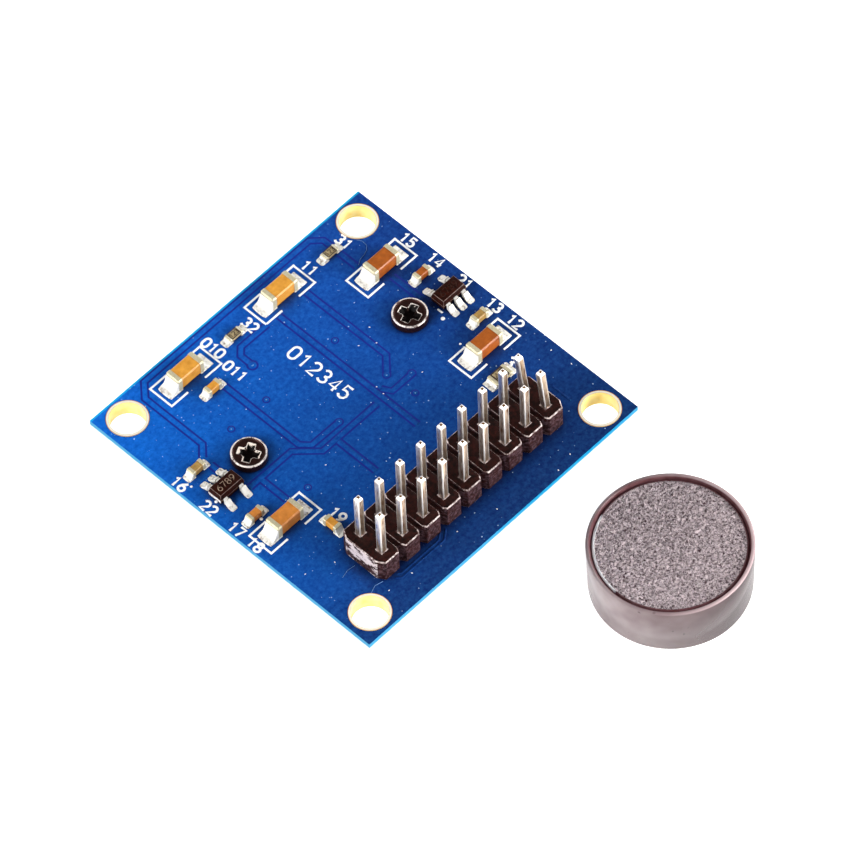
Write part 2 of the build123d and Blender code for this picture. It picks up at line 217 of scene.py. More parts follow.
def gather(made, angle=None):
    """Joins pieces into the first of them, and smooths it where an angle is given."""
    pick(*made)
    bpy.ops.object.join()
    if angle is not None:
        smooth(angle)
    return bpy.context.active_object


def set_copies(model, places):
    """Copies of a model, each with its own mesh, turned about Z and moved to (x, y, turn in degrees)."""
    made = []
    for x, y, turn in places:
        copy = model.copy()
        copy.data = model.data.copy()
        bpy.context.scene.collection.objects.link(copy)
        copy.matrix_world = Matrix.Translation(mm(x, y, 0)) @ Matrix.Rotation(math.radians(turn), 4, "Z")
        made.append(copy)
    return made


def join_copies(made, name, finish, slot, *replaced):
    """Puts the copies' places into their meshes and joins them into one settled piece."""
    pick(*made)
    bpy.ops.object.transform_apply(location=True, rotation=True, scale=True)
    return settle(gather(made, 50), name, finish, slot, *replaced)


def drawn(name, runs):
    """A curve of straight runs through places, and its object, picked."""
    curve = bpy.data.curves.new(name, "CURVE")
    curve.dimensions = "3D"
    for run in runs:
        spline = curve.splines.new("POLY")
        spline.points.add(len(run) - 1)
        for point, (x, y, z) in zip(spline.points, run):
            point.co = (mm(x), mm(y), mm(z), 1)
    piece = bpy.data.objects.new(name, curve)
    bpy.context.scene.collection.objects.link(piece)
    pick(piece)
    return piece


# Epoxy solder mask over copper foil, curtain coated and cured: a hard clear blue, painted from azure at the
# far left to navy at the near right, partly for the mask's thickness and partly as painted light, with the
# faint unevenness of the foil under it. The cut sides show the mask's bright edge over pale glass laminate.
def solder_mask_nodes(tree, place, here):
    split = add(tree, "SeparateXYZ", links=here)
    across = add(tree, "MapRange", {"From Min": mm(-16), "From Max": mm(16)}, {"Value": (split, "X")})
    along = add(tree, "MapRange", {"From Min": mm(-16), "From Max": mm(16)}, {"Value": (split, "Y")})
    near = add(tree, "Mix", {"data_type": "RGBA", 6: srgb("084090"), 7: srgb("0A347C")}, {0: across})
    far = add(tree, "Mix", {"data_type": "RGBA", 6: srgb("006CDA"), 7: srgb("1244A0")}, {0: across})
    depth_and_light_gradient = add(tree, "Mix", {"data_type": "RGBA"}, {0: along, 6: near, 7: far})
    # Painted shade: the mask is darkened along the near side and the right side
    near_side = add(tree, "MapRange", {"From Min": mm(-15.5), "From Max": mm(-10.5), "To Min": 0.75,
            "To Max": 0.0}, {"Value": (split, "Y")})
    right_side = add(tree, "MapRange", {"From Min": mm(10), "From Max": mm(15), "To Max": 0.5},
            {"Value": (split, "X")})
    painted_edge_shade = add(tree, "Math", {"operation": "MAXIMUM"}, {0: near_side, 1: right_side})
    spread = add(tree, "Mix", {"data_type": "RGBA", "blend_type": "MULTIPLY", 7: srgb("A896B2")},
            {0: painted_edge_shade, 6: depth_and_light_gradient})
    foil = add(tree, "TexNoise", {"Scale": 1 / mm(2.6), "Detail": 6.0, "Roughness": 0.62}, here)
    foil_depth = add(tree, "MapRange", {"From Min": 0.3, "From Max": 0.7}, {"Value": foil})
    deeper = add(tree, "Mix", {"data_type": "RGBA", "blend_type": "MULTIPLY", 0: 1.0, 7: srgb("D6DCEA")},
            {6: spread})
    drifted = add(tree, "Mix", {"data_type": "RGBA"}, {0: foil_depth, 6: deeper, 7: spread})
    speckle = add(tree, "TexNoise", {"Scale": 1 / mm(0.42), "Detail": 5.0, "Roughness": 0.7}, here)
    speckle_depth = add(tree, "MapRange", {"From Min": 0.3, "From Max": 0.72}, {"Value": speckle})
    darker = add(tree, "Mix", {"data_type": "RGBA", "blend_type": "MULTIPLY", 0: 1.0, 7: srgb("D2D2DC")},
            {6: drifted})
    paler = add(tree, "Mix", {"data_type": "RGBA", "blend_type": "ADD", 0: 1.0, 7: srgb("183850")},
            {6: drifted})
    speckled = add(tree, "Mix", {"data_type": "RGBA"}, {0: speckle_depth, 6: darker, 7: paler})
    # Dust lies on the mask as pale grains of up to 0.2 mm, a few in each square millimetre
    grains = add(tree, "TexVoronoi", {"Scale": 1 / mm(0.44), "Randomness": 1.0}, here)
    grain_size = add(tree, "SeparateColor", links={"Color": (grains, "Color")})
    grain_reach = add(tree, "MapRange", {"From Min": 0.3, "To Max": 0.15}, {"Value": (grain_size, "Red")})
    grain_here = add(tree, "Math", {"operation": "LESS_THAN"}, {0: (grains, "Distance"), 1: grain_reach})
    grain_pale = add(tree, "Math", {"operation": "MULTIPLY"}, {0: grain_here, 1: (grain_size, "Green")})
    mottled = add(tree, "Mix", {"data_type": "RGBA", 7: srgb("B4D4F4")}, {0: grain_pale, 6: speckled})
    # The cut sides: the mask's edge glows in the upper part, and the laminate is pale below it
    facing = add(tree, "SeparateXYZ", links={"Vector": (place, "Normal")})
    upright = add(tree, "Math", {"operation": "ABSOLUTE"}, {0: (facing, "Z")})
    side = add(tree, "Math", {"operation": "LESS_THAN", 1: 0.5}, {0: upright})
    weave = add(tree, "TexNoise", {"Scale": 1 / mm(0.5), "Detail": 3.0}, here)
    ragged = add(tree, "Math", {"operation": "MULTIPLY_ADD", 1: mm(0.14)}, {0: weave, 2: (split, "Z")})
    depth = add(tree, "MapRange", {"From Min": mm(-0.62), "From Max": mm(-0.38)}, {"Value": ragged})
    edge = add(tree, "Mix", {"data_type": "RGBA", 6: srgb("DDE8E4"), 7: srgb("0082B0")}, {0: depth})
    # Painted highlight: a pale cyan line along the far edge of the top face
    far_edge_highlight = add(tree, "MapRange", {"From Min": mm(16.66), "From Max": mm(16.76), "To Max": 0.75},
            {"Value": (split, "Y")})
    with_far_edge_highlight = add(tree, "Mix", {"data_type": "RGBA", 7: srgb("20B4E8")}, {0: far_edge_highlight, 6: mottled})
    # Painted shade: where ambient occlusion finds parts standing close by, the mask is darkened
    open_sky = add(tree, "AmbientOcclusion", {"samples": 6, "Distance": mm(2.0)})
    painted_contact_shade = add(tree, "MapRange", {"From Min": 0.45, "From Max": 0.9, "To Min": 0.9, "To Max": 0.0},
            {"Value": (open_sky, "AO")})
    contact_shaded = add(tree, "Mix", {"data_type": "RGBA", 7: srgb("0A0C28")}, {0: painted_contact_shade, 6: with_far_edge_highlight})
    colour = add(tree, "Mix", {"data_type": "RGBA"}, {0: side, 6: contact_shaded, 7: edge})
    grain = add(tree, "TexNoise", {"Scale": 1 / mm(0.25), "Detail": 2.0}, here)
    bump = add(tree, "Bump", {"Strength": 0.12, "Distance": mm(0.02)}, {"Height": grain})
    surface = add(tree, "BsdfPrincipled", {"Roughness": 0.32, "IOR": 1.5, "Specular IOR Level": 0.12},
            {"Base Color": colour, "Normal": bump})
    return surface


# The same mask where there is no copper under it: a line of darker violet blue
def bare_gap_nodes(tree, place, here):
    drift = add(tree, "TexNoise", {"Scale": 1 / mm(1.2), "Detail": 4.0}, here)
    colour = add(tree, "Mix", {"data_type": "RGBA", 6: srgb("122078"), 7: srgb("163094")}, {0: drift})
    surface = add(tree, "BsdfPrincipled", {"Roughness": 0.35, "IOR": 1.5, "Specular IOR Level": 0.22},
            {"Base Color": colour})
    return surface


# Screen-printed epoxy ink, white: matt, a little thin in places so that the blue shows through
def ink_nodes(tree, place, here):
    thin = add(tree, "TexNoise", {"Scale": 1 / mm(0.35), "Detail": 5.0, "Roughness": 0.7}, here)
    worn = add(tree, "MapRange", {"From Min": 0.58, "From Max": 0.72, "To Max": 0.6}, {"Value": thin})
    colour = add(tree, "Mix", {"data_type": "RGBA", 6: srgb("FFFFFF"), 7: srgb("9CC0E4")}, {0: worn})
    bump = add(tree, "Bump", {"Strength": 0.3, "Distance": mm(0.02)}, {"Height": thin})
    surface = add(tree, "BsdfPrincipled", {"Roughness": 0.62, "IOR": 1.5},
            {"Base Color": colour, "Normal": bump})
    return surface


# Plain metal finishes differ in colour, in how mirror-like they are and in how their surface came to be
def metal_nodes(tree, place, here, light, dark, rough_low, rough_high, grain_mm, bump_mm, metallic=1.0):
    grain = add(tree, "TexNoise", {"Scale": 1 / mm(grain_mm), "Detail": 5.0, "Roughness": 0.6}, here)
    colour = add(tree, "Mix", {"data_type": "RGBA", 6: srgb(light), 7: srgb(dark)}, {0: grain})
    rough = add(tree, "MapRange", {"From Min": 0.3, "From Max": 0.7, "To Min": rough_low,
            "To Max": rough_high}, {"Value": grain})
    bump = add(tree, "Bump", {"Strength": 0.5, "Distance": mm(bump_mm)}, {"Height": grain})
    surface = add(tree, "BsdfPrincipled", {"Metallic": metallic},
            {"Base Color": colour, "Roughness": rough, "Normal": bump})
    return surface


# Solder: tin that flowed and froze, white and satin, with brown flux left on it close to the board
def solder_nodes(tree, place, here):
    grain = add(tree, "TexNoise", {"Scale": 1 / mm(0.35), "Detail": 5.0, "Roughness": 0.6}, here)
    tin = add(tree, "Mix", {"data_type": "RGBA", 6: srgb("FFFEF8"), 7: srgb("E8E4DA")}, {0: grain})
    split = add(tree, "SeparateXYZ", links=here)
    low = add(tree, "MapRange", {"From Min": mm(0.28), "From Max": mm(0.08)}, {"Value": (split, "Z")})
    stain = add(tree, "TexNoise", {"Scale": 1 / mm(0.3), "Detail": 4.0, "Roughness": 0.7}, here)
    patch = add(tree, "MapRange", {"From Min": 0.5, "From Max": 0.6, "To Max": 0.8}, {"Value": stain})
    flux = add(tree, "Math", {"operation": "MULTIPLY"}, {0: low, 1: patch})
    colour = add(tree, "Mix", {"data_type": "RGBA", 7: srgb("8A7460")}, {0: flux, 6: tin})
    rough = add(tree, "MapRange", {"From Min": 0.3, "From Max": 0.7, "To Min": 0.42, "To Max": 0.62},
            {"Value": grain})
    bump = add(tree, "Bump", {"Strength": 0.5, "Distance": mm(0.03)}, {"Height": grain})
    surface = add(tree, "BsdfPrincipled", {"Metallic": 0.2},
            {"Base Color": colour, "Roughness": rough, "Normal": bump})
    return surface


# Moulded and fired bodies: a base colour with cloudy variation, fine grain and a soft sheen
def body_nodes(tree, place, here, light, dark, rough, cloud_mm, grain_mm, bump_mm, specular=0.5):
    cloud = add(tree, "TexNoise", {"Scale": 1 / mm(cloud_mm), "Detail": 4.0, "Roughness": 0.6}, here)
    spread = add(tree, "MapRange", {"From Min": 0.3, "From Max": 0.7}, {"Value": cloud})
    colour = add(tree, "Mix", {"data_type": "RGBA", 6: srgb(light), 7: srgb(dark)}, {0: spread})
    grain = add(tree, "TexNoise", {"Scale": 1 / mm(grain_mm), "Detail": 3.0}, here)
    rounded = add(tree, "Bevel", {"samples": 4, "Radius": mm(0.05)})
    bump = add(tree, "Bump", {"Strength": 0.5, "Distance": mm(bump_mm)},
            {"Height": grain, "Normal": rounded})
    surface = add(tree, "BsdfPrincipled", {"Roughness": rough, "IOR": 1.5, "Specular IOR Level": specular},
            {"Base Color": colour, "Normal": bump})
    return surface


# Header pins: square brass wire plated with bright tin. The flats mirror what is round them; brown streaks
# are a painted reflection of the brown housing, darker on the two sides that face along Y as painted shade
def pin_tin_nodes(tree, place, here):
    drawn = add(tree, "Mapping", {"Scale": (1, 1, 0.12)}, here)
    streak = add(tree, "TexNoise", {"Scale": 1 / mm(0.2), "Detail": 4.0, "Roughness": 0.6},
            {"Vector": drawn})
    streaks = add(tree, "MapRange", {"From Min": 0.45, "From Max": 0.68}, {"Value": streak})
    plated = add(tree, "Mix", {"data_type": "RGBA", 6: srgb("FFF8F0"), 7: srgb("9C7458")}, {0: streaks})
    y_sides_painted_reflection = add(tree, "Mix", {"data_type": "RGBA", 6: srgb("DCC4AC"), 7: srgb("6E462C")}, {0: streaks})
    facing = add(tree, "SeparateXYZ", links={"Vector": (place, "Normal")})
    across = add(tree, "Math", {"operation": "ABSOLUTE"}, {0: (facing, "Y")})
    y_facing_side = add(tree, "Math", {"operation": "GREATER_THAN", 1: 0.8}, {0: across})
    colour = add(tree, "Mix", {"data_type": "RGBA"}, {0: y_facing_side, 6: plated, 7: y_sides_painted_reflection})
    rough = add(tree, "MapRange", {"From Min": 0.3, "From Max": 0.7, "To Min": 0.26, "To Max": 0.44},
            {"Value": streak})
    bump = add(tree, "Bump", {"Strength": 0.4, "Distance": mm(0.006)}, {"Height": streak})
    surface = add(tree, "BsdfPrincipled", {"Metallic": 1.0},
            {"Base Color": colour, "Roughness": rough, "Normal": bump})
    return surface


# Pin header: nylon filled with glass fibre, brown black. Its sides are flecked where fibres show, and the
# end where the strip was snapped off is white with stress marks
def header_nylon_nodes(tree, place, here):
    split = add(tree, "SeparateXYZ", links=here)
    facing = add(tree, "SeparateXYZ", links={"Vector": (place, "Normal")})
    cloud = add(tree, "TexNoise", {"Scale": 1 / mm(0.4), "Detail": 5.0, "Roughness": 0.7}, here)
    clouds = add(tree, "MapRange", {"From Min": 0.35, "From Max": 0.65}, {"Value": cloud})
    plain = add(tree, "Mix", {"data_type": "RGBA", 6: srgb("0C0302"), 7: srgb("30100C")}, {0: clouds})
    fleck = add(tree, "TexNoise", {"Scale": 1 / mm(0.32), "Detail": 4.0, "Roughness": 0.75}, here)
    flecks = add(tree, "MapRange", {"From Min": 0.46, "From Max": 0.64, "To Max": 0.85}, {"Value": fleck})
    upright = add(tree, "Math", {"operation": "ABSOLUTE"}, {0: (facing, "Z")})
    side = add(tree, "Math", {"operation": "LESS_THAN", 1: 0.5}, {0: upright})
    on_side = add(tree, "Math", {"operation": "MULTIPLY"}, {0: flecks, 1: side})
    flecked = add(tree, "Mix", {"data_type": "RGBA", 7: srgb("5E484E")}, {0: on_side, 6: plain})
    stretched = add(tree, "Mapping", {"Scale": (1, 0.5, 1)}, here)
    tear = add(tree, "TexNoise", {"Scale": 1 / mm(0.8), "Detail": 6.0, "Roughness": 0.72},
            {"Vector": stretched})
    torn = add(tree, "MapRange", {"From Min": 0.49, "From Max": 0.525, "To Min": 1.0, "To Max": 0.0},
            {"Value": tear})
    end = add(tree, "Math", {"operation": "LESS_THAN", 1: mm(torn_x)}, {0: (split, "X")})
    white = add(tree, "Math", {"operation": "MULTIPLY"}, {0: torn, 1: end})
    colour = add(tree, "Mix", {"data_type": "RGBA", 7: srgb("CCC0C2")}, {0: white, 6: flecked})
    bump = add(tree, "Bump", {"Strength": 0.6, "Distance": mm(0.04)}, {"Height": fleck})
    surface = add(tree, "BsdfPrincipled", {"Roughness": 0.6, "IOR": 1.53, "Specular IOR Level": 0.1},
            {"Base Color": colour, "Normal": bump})
    return surface


# The same nylon on the header's narrow edges, painted pale in ragged patches: painted highlights along the
# edges
def header_edge_highlight_nodes(tree, place, here):
    patchy = add(tree, "TexNoise", {"Scale": 1 / mm(0.3), "Detail": 5.0, "Roughness": 0.7}, here)
    patch_mask = add(tree, "MapRange", {"From Min": 0.4, "From Max": 0.58, "To Min": 1.0, "To Max": 0.0},
            {"Value": patchy})
    colour = add(tree, "Mix", {"data_type": "RGBA", 6: srgb("4A2C28"), 7: srgb("DCCCC8")}, {0: patch_mask})
    bump = add(tree, "Bump", {"Strength": 0.6, "Distance": mm(0.03)}, {"Height": patchy})
    surface = add(tree, "BsdfPrincipled", {"Roughness": 0.55, "IOR": 1.53},
            {"Base Color": colour, "Normal": bump})
    return surface


# Lens cap, moulded ABS: the sunk face is leather grain with lumps of about 0.2 mm, the rim is dark and
# polished, and the wall is smooth with a soft sheen, painted a paler grey than the plastic as painted sheen,
# with a few small nicks
def cap_plastic_nodes(tree, place, here):
    centred = add(tree, "Mapping", {"Location": mm(-cap_x, -cap_y, 0)}, here)
    split = add(tree, "SeparateXYZ", links={"Vector": centred})
    flat = add(tree, "CombineXYZ", links={"X": (split, "X"), "Y": (split, "Y")})
    reach = add(tree, "VectorMath", {"operation": "LENGTH"}, {0: flat})
    inward = add(tree, "MapRange", {"From Min": mm(6.74), "From Max": mm(6.66)}, {"Value": (reach, "Value")})
    outside = add(tree, "Math", {"operation": "GREATER_THAN", 1: mm(-12.8)}, {0: (split, "Z")})
    face = add(tree, "Math", {"operation": "MULTIPLY"}, {0: inward, 1: outside})
    wall = add(tree, "MapRange", {"From Min": mm(7.14), "From Max": mm(7.26)}, {"Value": (reach, "Value")})
    lumps = add(tree, "TexNoise", {"Scale": 1 / mm(0.2), "Detail": 2.0, "Roughness": 0.5, "Distortion": 0.9},
            here)
    steep = add(tree, "MapRange", {"From Min": 0.34, "From Max": 0.62}, {"Value": lumps})
    grained = add(tree, "Math", {"operation": "MULTIPLY"}, {0: steep, 1: face})
    bump = add(tree, "Bump", {"Strength": 1.0, "Distance": mm(0.18)}, {"Height": grained})
    # Painted shade and light: the grain's colour follows its height, dark in the pits and pale on the lumps
    grain_with_relief_shade = add(tree, "Mix", {"data_type": "RGBA", 6: srgb("442E34"), 7: srgb("D8C4C8")}, {0: steep})
    rim_drift = add(tree, "TexNoise", {"Scale": 1 / mm(0.8), "Detail": 4.0}, here)
    rim_colour = add(tree, "Mix", {"data_type": "RGBA", 6: srgb("40181C"), 7: srgb("745054")},
            {0: rim_drift})
    wall_drift = add(tree, "TexNoise", {"Scale": 1 / mm(6), "Detail": 3.0, "Roughness": 0.6}, here)
    wall_clouds = add(tree, "MapRange", {"From Min": 0.35, "From Max": 0.65}, {"Value": wall_drift})
    wall_colour = add(tree, "Mix", {"data_type": "RGBA", 6: srgb("6C5458"), 7: srgb("9A8C8C")},
            {0: wall_clouds})
    nick = add(tree, "TexNoise", {"Scale": 1 / mm(0.9), "Detail": 2.0}, here)
    nicked = add(tree, "MapRange", {"From Min": 0.7, "From Max": 0.74, "To Max": 0.8}, {"Value": nick})
    marked_wall = add(tree, "Mix", {"data_type": "RGBA", 7: srgb("3C2426")}, {0: nicked, 6: wall_colour})
    # Painted light and shade: the wall is painted paler on its left side and darker on its right, and the
    # bead round the face is painted white on the left as a highlight
    rightward = add(tree, "VectorMath", {"operation": "DOT_PRODUCT", 1: (0.72, -0.69, 0)}, {0: flat})
    sideways = add(tree, "MapRange", {"From Min": mm(-5.5), "From Max": mm(5), "To Min": 1.0, "To Max": 0.0},
            {"Value": (rightward, "Value")})
    shaded_wall = add(tree, "Mix", {"data_type": "RGBA", "blend_type": "MULTIPLY", 0: 1.0,
            7: srgb("70565E")}, {6: marked_wall})
    painted_lit_wall = add(tree, "Mix", {"data_type": "RGBA", "blend_type": "ADD", 0: 1.0, 7: srgb("4C4848")},
            {6: marked_wall})
    whole_wall = add(tree, "Mix", {"data_type": "RGBA"}, {0: sideways, 6: shaded_wall, 7: painted_lit_wall})
    outer = add(tree, "Mix", {"data_type": "RGBA"}, {0: wall, 6: rim_colour, 7: whole_wall})
    # Painted highlight: the lip is painted pale on its right side
    lip_high = add(tree, "MapRange", {"From Min": mm(-12.0), "From Max": mm(-11.9)}, {"Value": (split, "Z")})
    lip_out = add(tree, "MapRange", {"From Min": mm(7.06), "From Max": mm(7.14)},
            {"Value": (reach, "Value")})
    lip_right = add(tree, "MapRange", {"From Min": mm(-3), "From Max": mm(5), "To Max": 0.85},
            {"Value": (rightward, "Value")})
    lip_there = add(tree, "Math", {"operation": "MULTIPLY"}, {0: lip_high, 1: lip_out})
    lip_painted_highlight = add(tree, "Math", {"operation": "MULTIPLY"}, {0: lip_there, 1: lip_right})
    lipped = add(tree, "Mix", {"data_type": "RGBA", 7: srgb("C0A8AA")}, {0: lip_painted_highlight, 6: outer})
    whole = add(tree, "Mix", {"data_type": "RGBA"}, {0: face, 6: lipped, 7: grain_with_relief_shade})
    # Painted highlight: the bead's left arc is painted white
    leftward = add(tree, "VectorMath", {"operation": "DOT_PRODUCT", 1: (-0.78, 0.63, 0)}, {0: flat})
    ragged = add(tree, "Math", {"operation": "MULTIPLY_ADD", 1: mm(1.6)},
            {0: rim_drift, 2: (leftward, "Value")})
    on_left = add(tree, "MapRange", {"From Min": mm(6.1), "From Max": mm(6.5)}, {"Value": ragged})
    from_bead = add(tree, "Math", {"operation": "SUBTRACT", 1: mm(cap_bead_r)}, {0: (reach, "Value")})
    bead_off = add(tree, "Math", {"operation": "ABSOLUTE"}, {0: from_bead})
    on_bead = add(tree, "MapRange", {"From Min": mm(0.14), "From Max": mm(0.1)}, {"Value": bead_off})
    patch_mask = add(tree, "Math", {"operation": "MULTIPLY"}, {0: on_left, 1: on_bead})
    colour = add(tree, "Mix", {"data_type": "RGBA", 7: srgb("FFFFFF")}, {0: patch_mask, 6: whole})
    rough = add(tree, "MapRange", {"To Min": 0.24, "To Max": 0.15}, {"Value": face})
    shine = add(tree, "MapRange", {"To Min": 0.22, "To Max": 0.8}, {"Value": face})
    surface = add(tree, "BsdfPrincipled", {"IOR": 1.53},
            {"Base Color": colour, "Roughness": rough, "Specular IOR Level": shine, "Normal": bump})
    return surface


# Worn steel along the edges: ragged patches where the black oxide is rubbed through, painted near white so
# that they also stand for the highlights on the rims
def worn_and_highlit_steel_nodes(tree, place, here):
    patchy = add(tree, "TexNoise", {"Scale": 1 / mm(0.55), "Detail": 4.0, "Roughness": 0.7}, here)
    patch_mask = add(tree, "MapRange", {"From Min": 0.5, "From Max": 0.66}, {"Value": patchy})
    colour = add(tree, "Mix", {"data_type": "RGBA", 6: srgb("FCF2EA"), 7: srgb("4A2C26")}, {0: patch_mask})
    bump = add(tree, "Bump", {"Strength": 0.5, "Distance": mm(0.02)}, {"Height": patchy})
    surface = add(tree, "BsdfPrincipled", {"Metallic": 0.45, "Roughness": 0.42},
            {"Base Color": colour, "Normal": bump})
    return surface


# The same steel inside a screw's recess: painted black low down as shade, and painted bright near the top
# as highlights, more so in the left screw than in the right one
def recess_steel_nodes(tree, place, here):
    patchy = add(tree, "TexNoise", {"Scale": 1 / mm(0.45), "Detail": 4.0, "Roughness": 0.7}, here)
    split = add(tree, "SeparateXYZ", links=here)
    ragged = add(tree, "Math", {"operation": "MULTIPLY_ADD", 1: mm(-0.9)}, {0: patchy, 2: (split, "Z")})
    by_screw = add(tree, "Math", {"operation": "MULTIPLY_ADD", 1: -0.0085}, {0: (split, "X"), 2: ragged})
    patch_mask = add(tree, "MapRange", {"From Min": mm(0.155), "From Max": mm(0.235)}, {"Value": by_screw})
    colour = add(tree, "Mix", {"data_type": "RGBA", 6: srgb("080202"), 7: srgb("F4E6DA")}, {0: patch_mask})
    surface = add(tree, "BsdfPrincipled", {"Roughness": 0.5, "Specular IOR Level": 0.08},
            {"Base Color": colour})
    return surface


# Gold plating over nickel, at the corner holes: painted near white on the flat of each ring as a highlight,
# deep orange at its two edges
def ring_gold_nodes(tree, place, here):
    split = add(tree, "SeparateXYZ", links=here)
    away_x = add(tree, "Math", {"operation": "ABSOLUTE"}, {0: (split, "X")})
    away_y = add(tree, "Math", {"operation": "ABSOLUTE"}, {0: (split, "Y")})
    corner = add(tree, "CombineXYZ", links={"X": away_x, "Y": away_y})
    centred = add(tree, "VectorMath", {"operation": "SUBTRACT", 1: mm(corner_x, corner_y, 0)}, {0: corner})
    reach = add(tree, "VectorMath", {"operation": "LENGTH"}, {0: centred})
    off_middle = add(tree, "Math", {"operation": "SUBTRACT", 1: mm(ring_r)}, {0: (reach, "Value")})
    off_size = add(tree, "Math", {"operation": "ABSOLUTE"}, {0: off_middle})
    at_edge = add(tree, "MapRange", {"From Min": mm(0.085), "From Max": mm(0.115)}, {"Value": off_size})
    facing = add(tree, "SeparateXYZ", links={"Vector": (place, "Normal")})
    flat = add(tree, "Math", {"operation": "GREATER_THAN", 1: 0.5}, {0: (facing, "Z")})
    edge_here = add(tree, "Math", {"operation": "MULTIPLY"}, {0: at_edge, 1: flat})
    drift = add(tree, "TexNoise", {"Scale": 1 / mm(0.7), "Detail": 4.0}, here)
    bore = add(tree, "Mix", {"data_type": "RGBA", 6: srgb("FFF2AC"), 7: srgb("FFDC68")}, {0: drift})
    flat_highlight = add(tree, "Mix", {"data_type": "RGBA", 7: srgb("FFFAE6")}, {0: flat, 6: bore})
    colour = add(tree, "Mix", {"data_type": "RGBA", 7: srgb("D88400")}, {0: edge_here, 6: flat_highlight})
    metal = add(tree, "MapRange", {"From Min": 0.3, "From Max": 0.7, "To Min": 0.34, "To Max": 0.5},
            {"Value": drift})
    surface = add(tree, "BsdfPrincipled", {"Metallic": 0.3}, {"Base Color": colour, "Roughness": metal})
    return surface


# Coated optical glass: clear, with a faint violet coating
def glass_nodes(tree, place, here, tint, rough):
    haze = add(tree, "TexNoise", {"Scale": 1 / mm(3), "Detail": 2.0}, here)
    patchy = add(tree, "MapRange", {"From Min": 0.3, "From Max": 0.8, "To Min": rough, "To Max": rough * 3},
            {"Value": haze})
    surface = add(tree, "BsdfPrincipled", {"Base Color": srgb(tint), "IOR": 1.6, "Transmission Weight": 1.0,
            "Coat Weight": 0.5, "Coat Tint": srgb("B090FF")}, {"Roughness": patchy})
    return surface


solder_mask = material("solder_mask_blue", solder_mask_nodes)
bare_gap = material("solder_mask_over_laminate", bare_gap_nodes)
ink = material("screen_printed_ink", ink_nodes)
gold = material("immersion_gold_plating", ring_gold_nodes)
pin_tin = material("bright_tin_on_drawn_brass", pin_tin_nodes)
solder = material("tin_solder", solder_nodes)
recess_steel = material("black_oxide_steel_in_recess", recess_steel_nodes)
worn_and_highlit_steel = material("black_oxide_steel_worn_and_painted_highlight", worn_and_highlit_steel_nodes)
header_nylon = material("glass_filled_nylon", header_nylon_nodes)
header_edge_highlight = material("glass_filled_nylon_painted_edge_highlight", header_edge_highlight_nodes)
cap_plastic = material("moulded_abs_leather_grain", cap_plastic_nodes)

# Bright tin on the pins' rounded edges and tips, painted whiter than the flats as highlights, so each edge
# draws a white line
pin_edge_highlight = material("bright_tin_painted_edge_highlight", metal_nodes, "FFFFFF", "F4ECE2", 0.34, 0.5, 0.3, 0.005, 0.85)
# Brass where a pin was sheared off: a dull brown tip
pin_cut = material("sheared_brass", metal_nodes, "B08050", "6A4426", 0.4, 0.6, 0.12, 0.02, 0.8)
# Tin plated in a barrel on the chips' ends: matt, warm grey and finely pitted
chip_metal = material("barrel_plated_tin", metal_nodes, "F2EACC", "A89C74", 0.45, 0.65, 0.13, 0.02, 0.45)
# Tin plated on copper leads: satin and nearly white
lead_tin = material("tin_plated_copper", metal_nodes, "FFFFFC", "E8E2D8", 0.45, 0.65, 0.2, 0.01, 0.2)
# Mask that sank into a plated hole: a small pale blue spot
via_mask = material("mask_sunk_in_plated_hole", metal_nodes, "7CB8E8", "3C78B8", 0.35, 0.5, 0.2, 0.01, 0.3)
# Black oxide on turned steel: brown black, with a soft metal sheen
black_steel = material("black_oxide_steel", metal_nodes, "44221C", "180A08", 0.3, 0.5, 0.3, 0.03, 0.7)

# Cotton lint: a fine thread, blue from the mask below it
fibre = material("cotton_lint", body_nodes, "6C98D4", "3E70B8", 0.7, 0.3, 0.1, 0.01)
# Fired ceramic, amber: the palest of the capacitors, satin with faint clouds
ceramic_amber = material("fired_ceramic_amber", body_nodes, "E6A43E", "C88426", 0.42, 0.7, 0.12, 0.02)
# Fired ceramic, orange: a deeper tone of the same
ceramic_orange = material("fired_ceramic_orange", body_nodes, "DC8C3A", "BE7026", 0.42, 0.7, 0.12, 0.02)
# Fired ceramic, brown: the darkest of them
ceramic_brown = material("fired_ceramic_brown", body_nodes, "B45E14", "8A4206", 0.42, 0.7, 0.12, 0.02)
# Fired ceramic, ochre: a dull yellow brown, with smaller clouds
ceramic_ochre = material("fired_ceramic_ochre", body_nodes, "B89450", "8E6A34", 0.42, 0.4, 0.1, 0.02)
# Glaze over a resistor's alumina: a smooth sandy top
thick_film = material("glazed_alumina", body_nodes, "C8B48A", "A48E64", 0.34, 0.3, 0.1, 0.01)
# Laser marking on that glaze: nearly black, matt lines
marking = material("laser_marking", body_nodes, "2A1C14", "402C20", 0.6, 0.3, 0.1, 0.01)
# Laser marking on one regulator: so faint that it is hardly read
faint_marking = material("faint_laser_marking", body_nodes, "3E241C", "1C0E08", 0.6, 0.3, 0.1, 0.01, 0.06)
# Laser marking on the other: tan, and worn thin in places
pale_marking = material("pale_laser_marking", body_nodes, "B8A08C", "3A241C", 0.6, 0.25, 0.1, 0.01, 0.06)
# Transfer moulded epoxy: brown black and matt
epoxy_black = material("transfer_moulded_epoxy", body_nodes, "34120A", "120402", 0.55, 0.35, 0.08, 0.03,
                       0.06)
# The same epoxy on its edges, painted as a pale line: a painted highlight
epoxy_edge_highlight = material("transfer_moulded_epoxy_painted_edge_highlight", body_nodes, "8A7068", "2C140E", 0.5, 0.25, 0.08, 0.03)
# The same epoxy, white, on the lower part of one regulator's left end face
white_end_epoxy = material("transfer_moulded_epoxy_white_end", body_nodes, "FFFFFF", "B0A098", 0.6, 0.3, 0.08,
                         0.03)
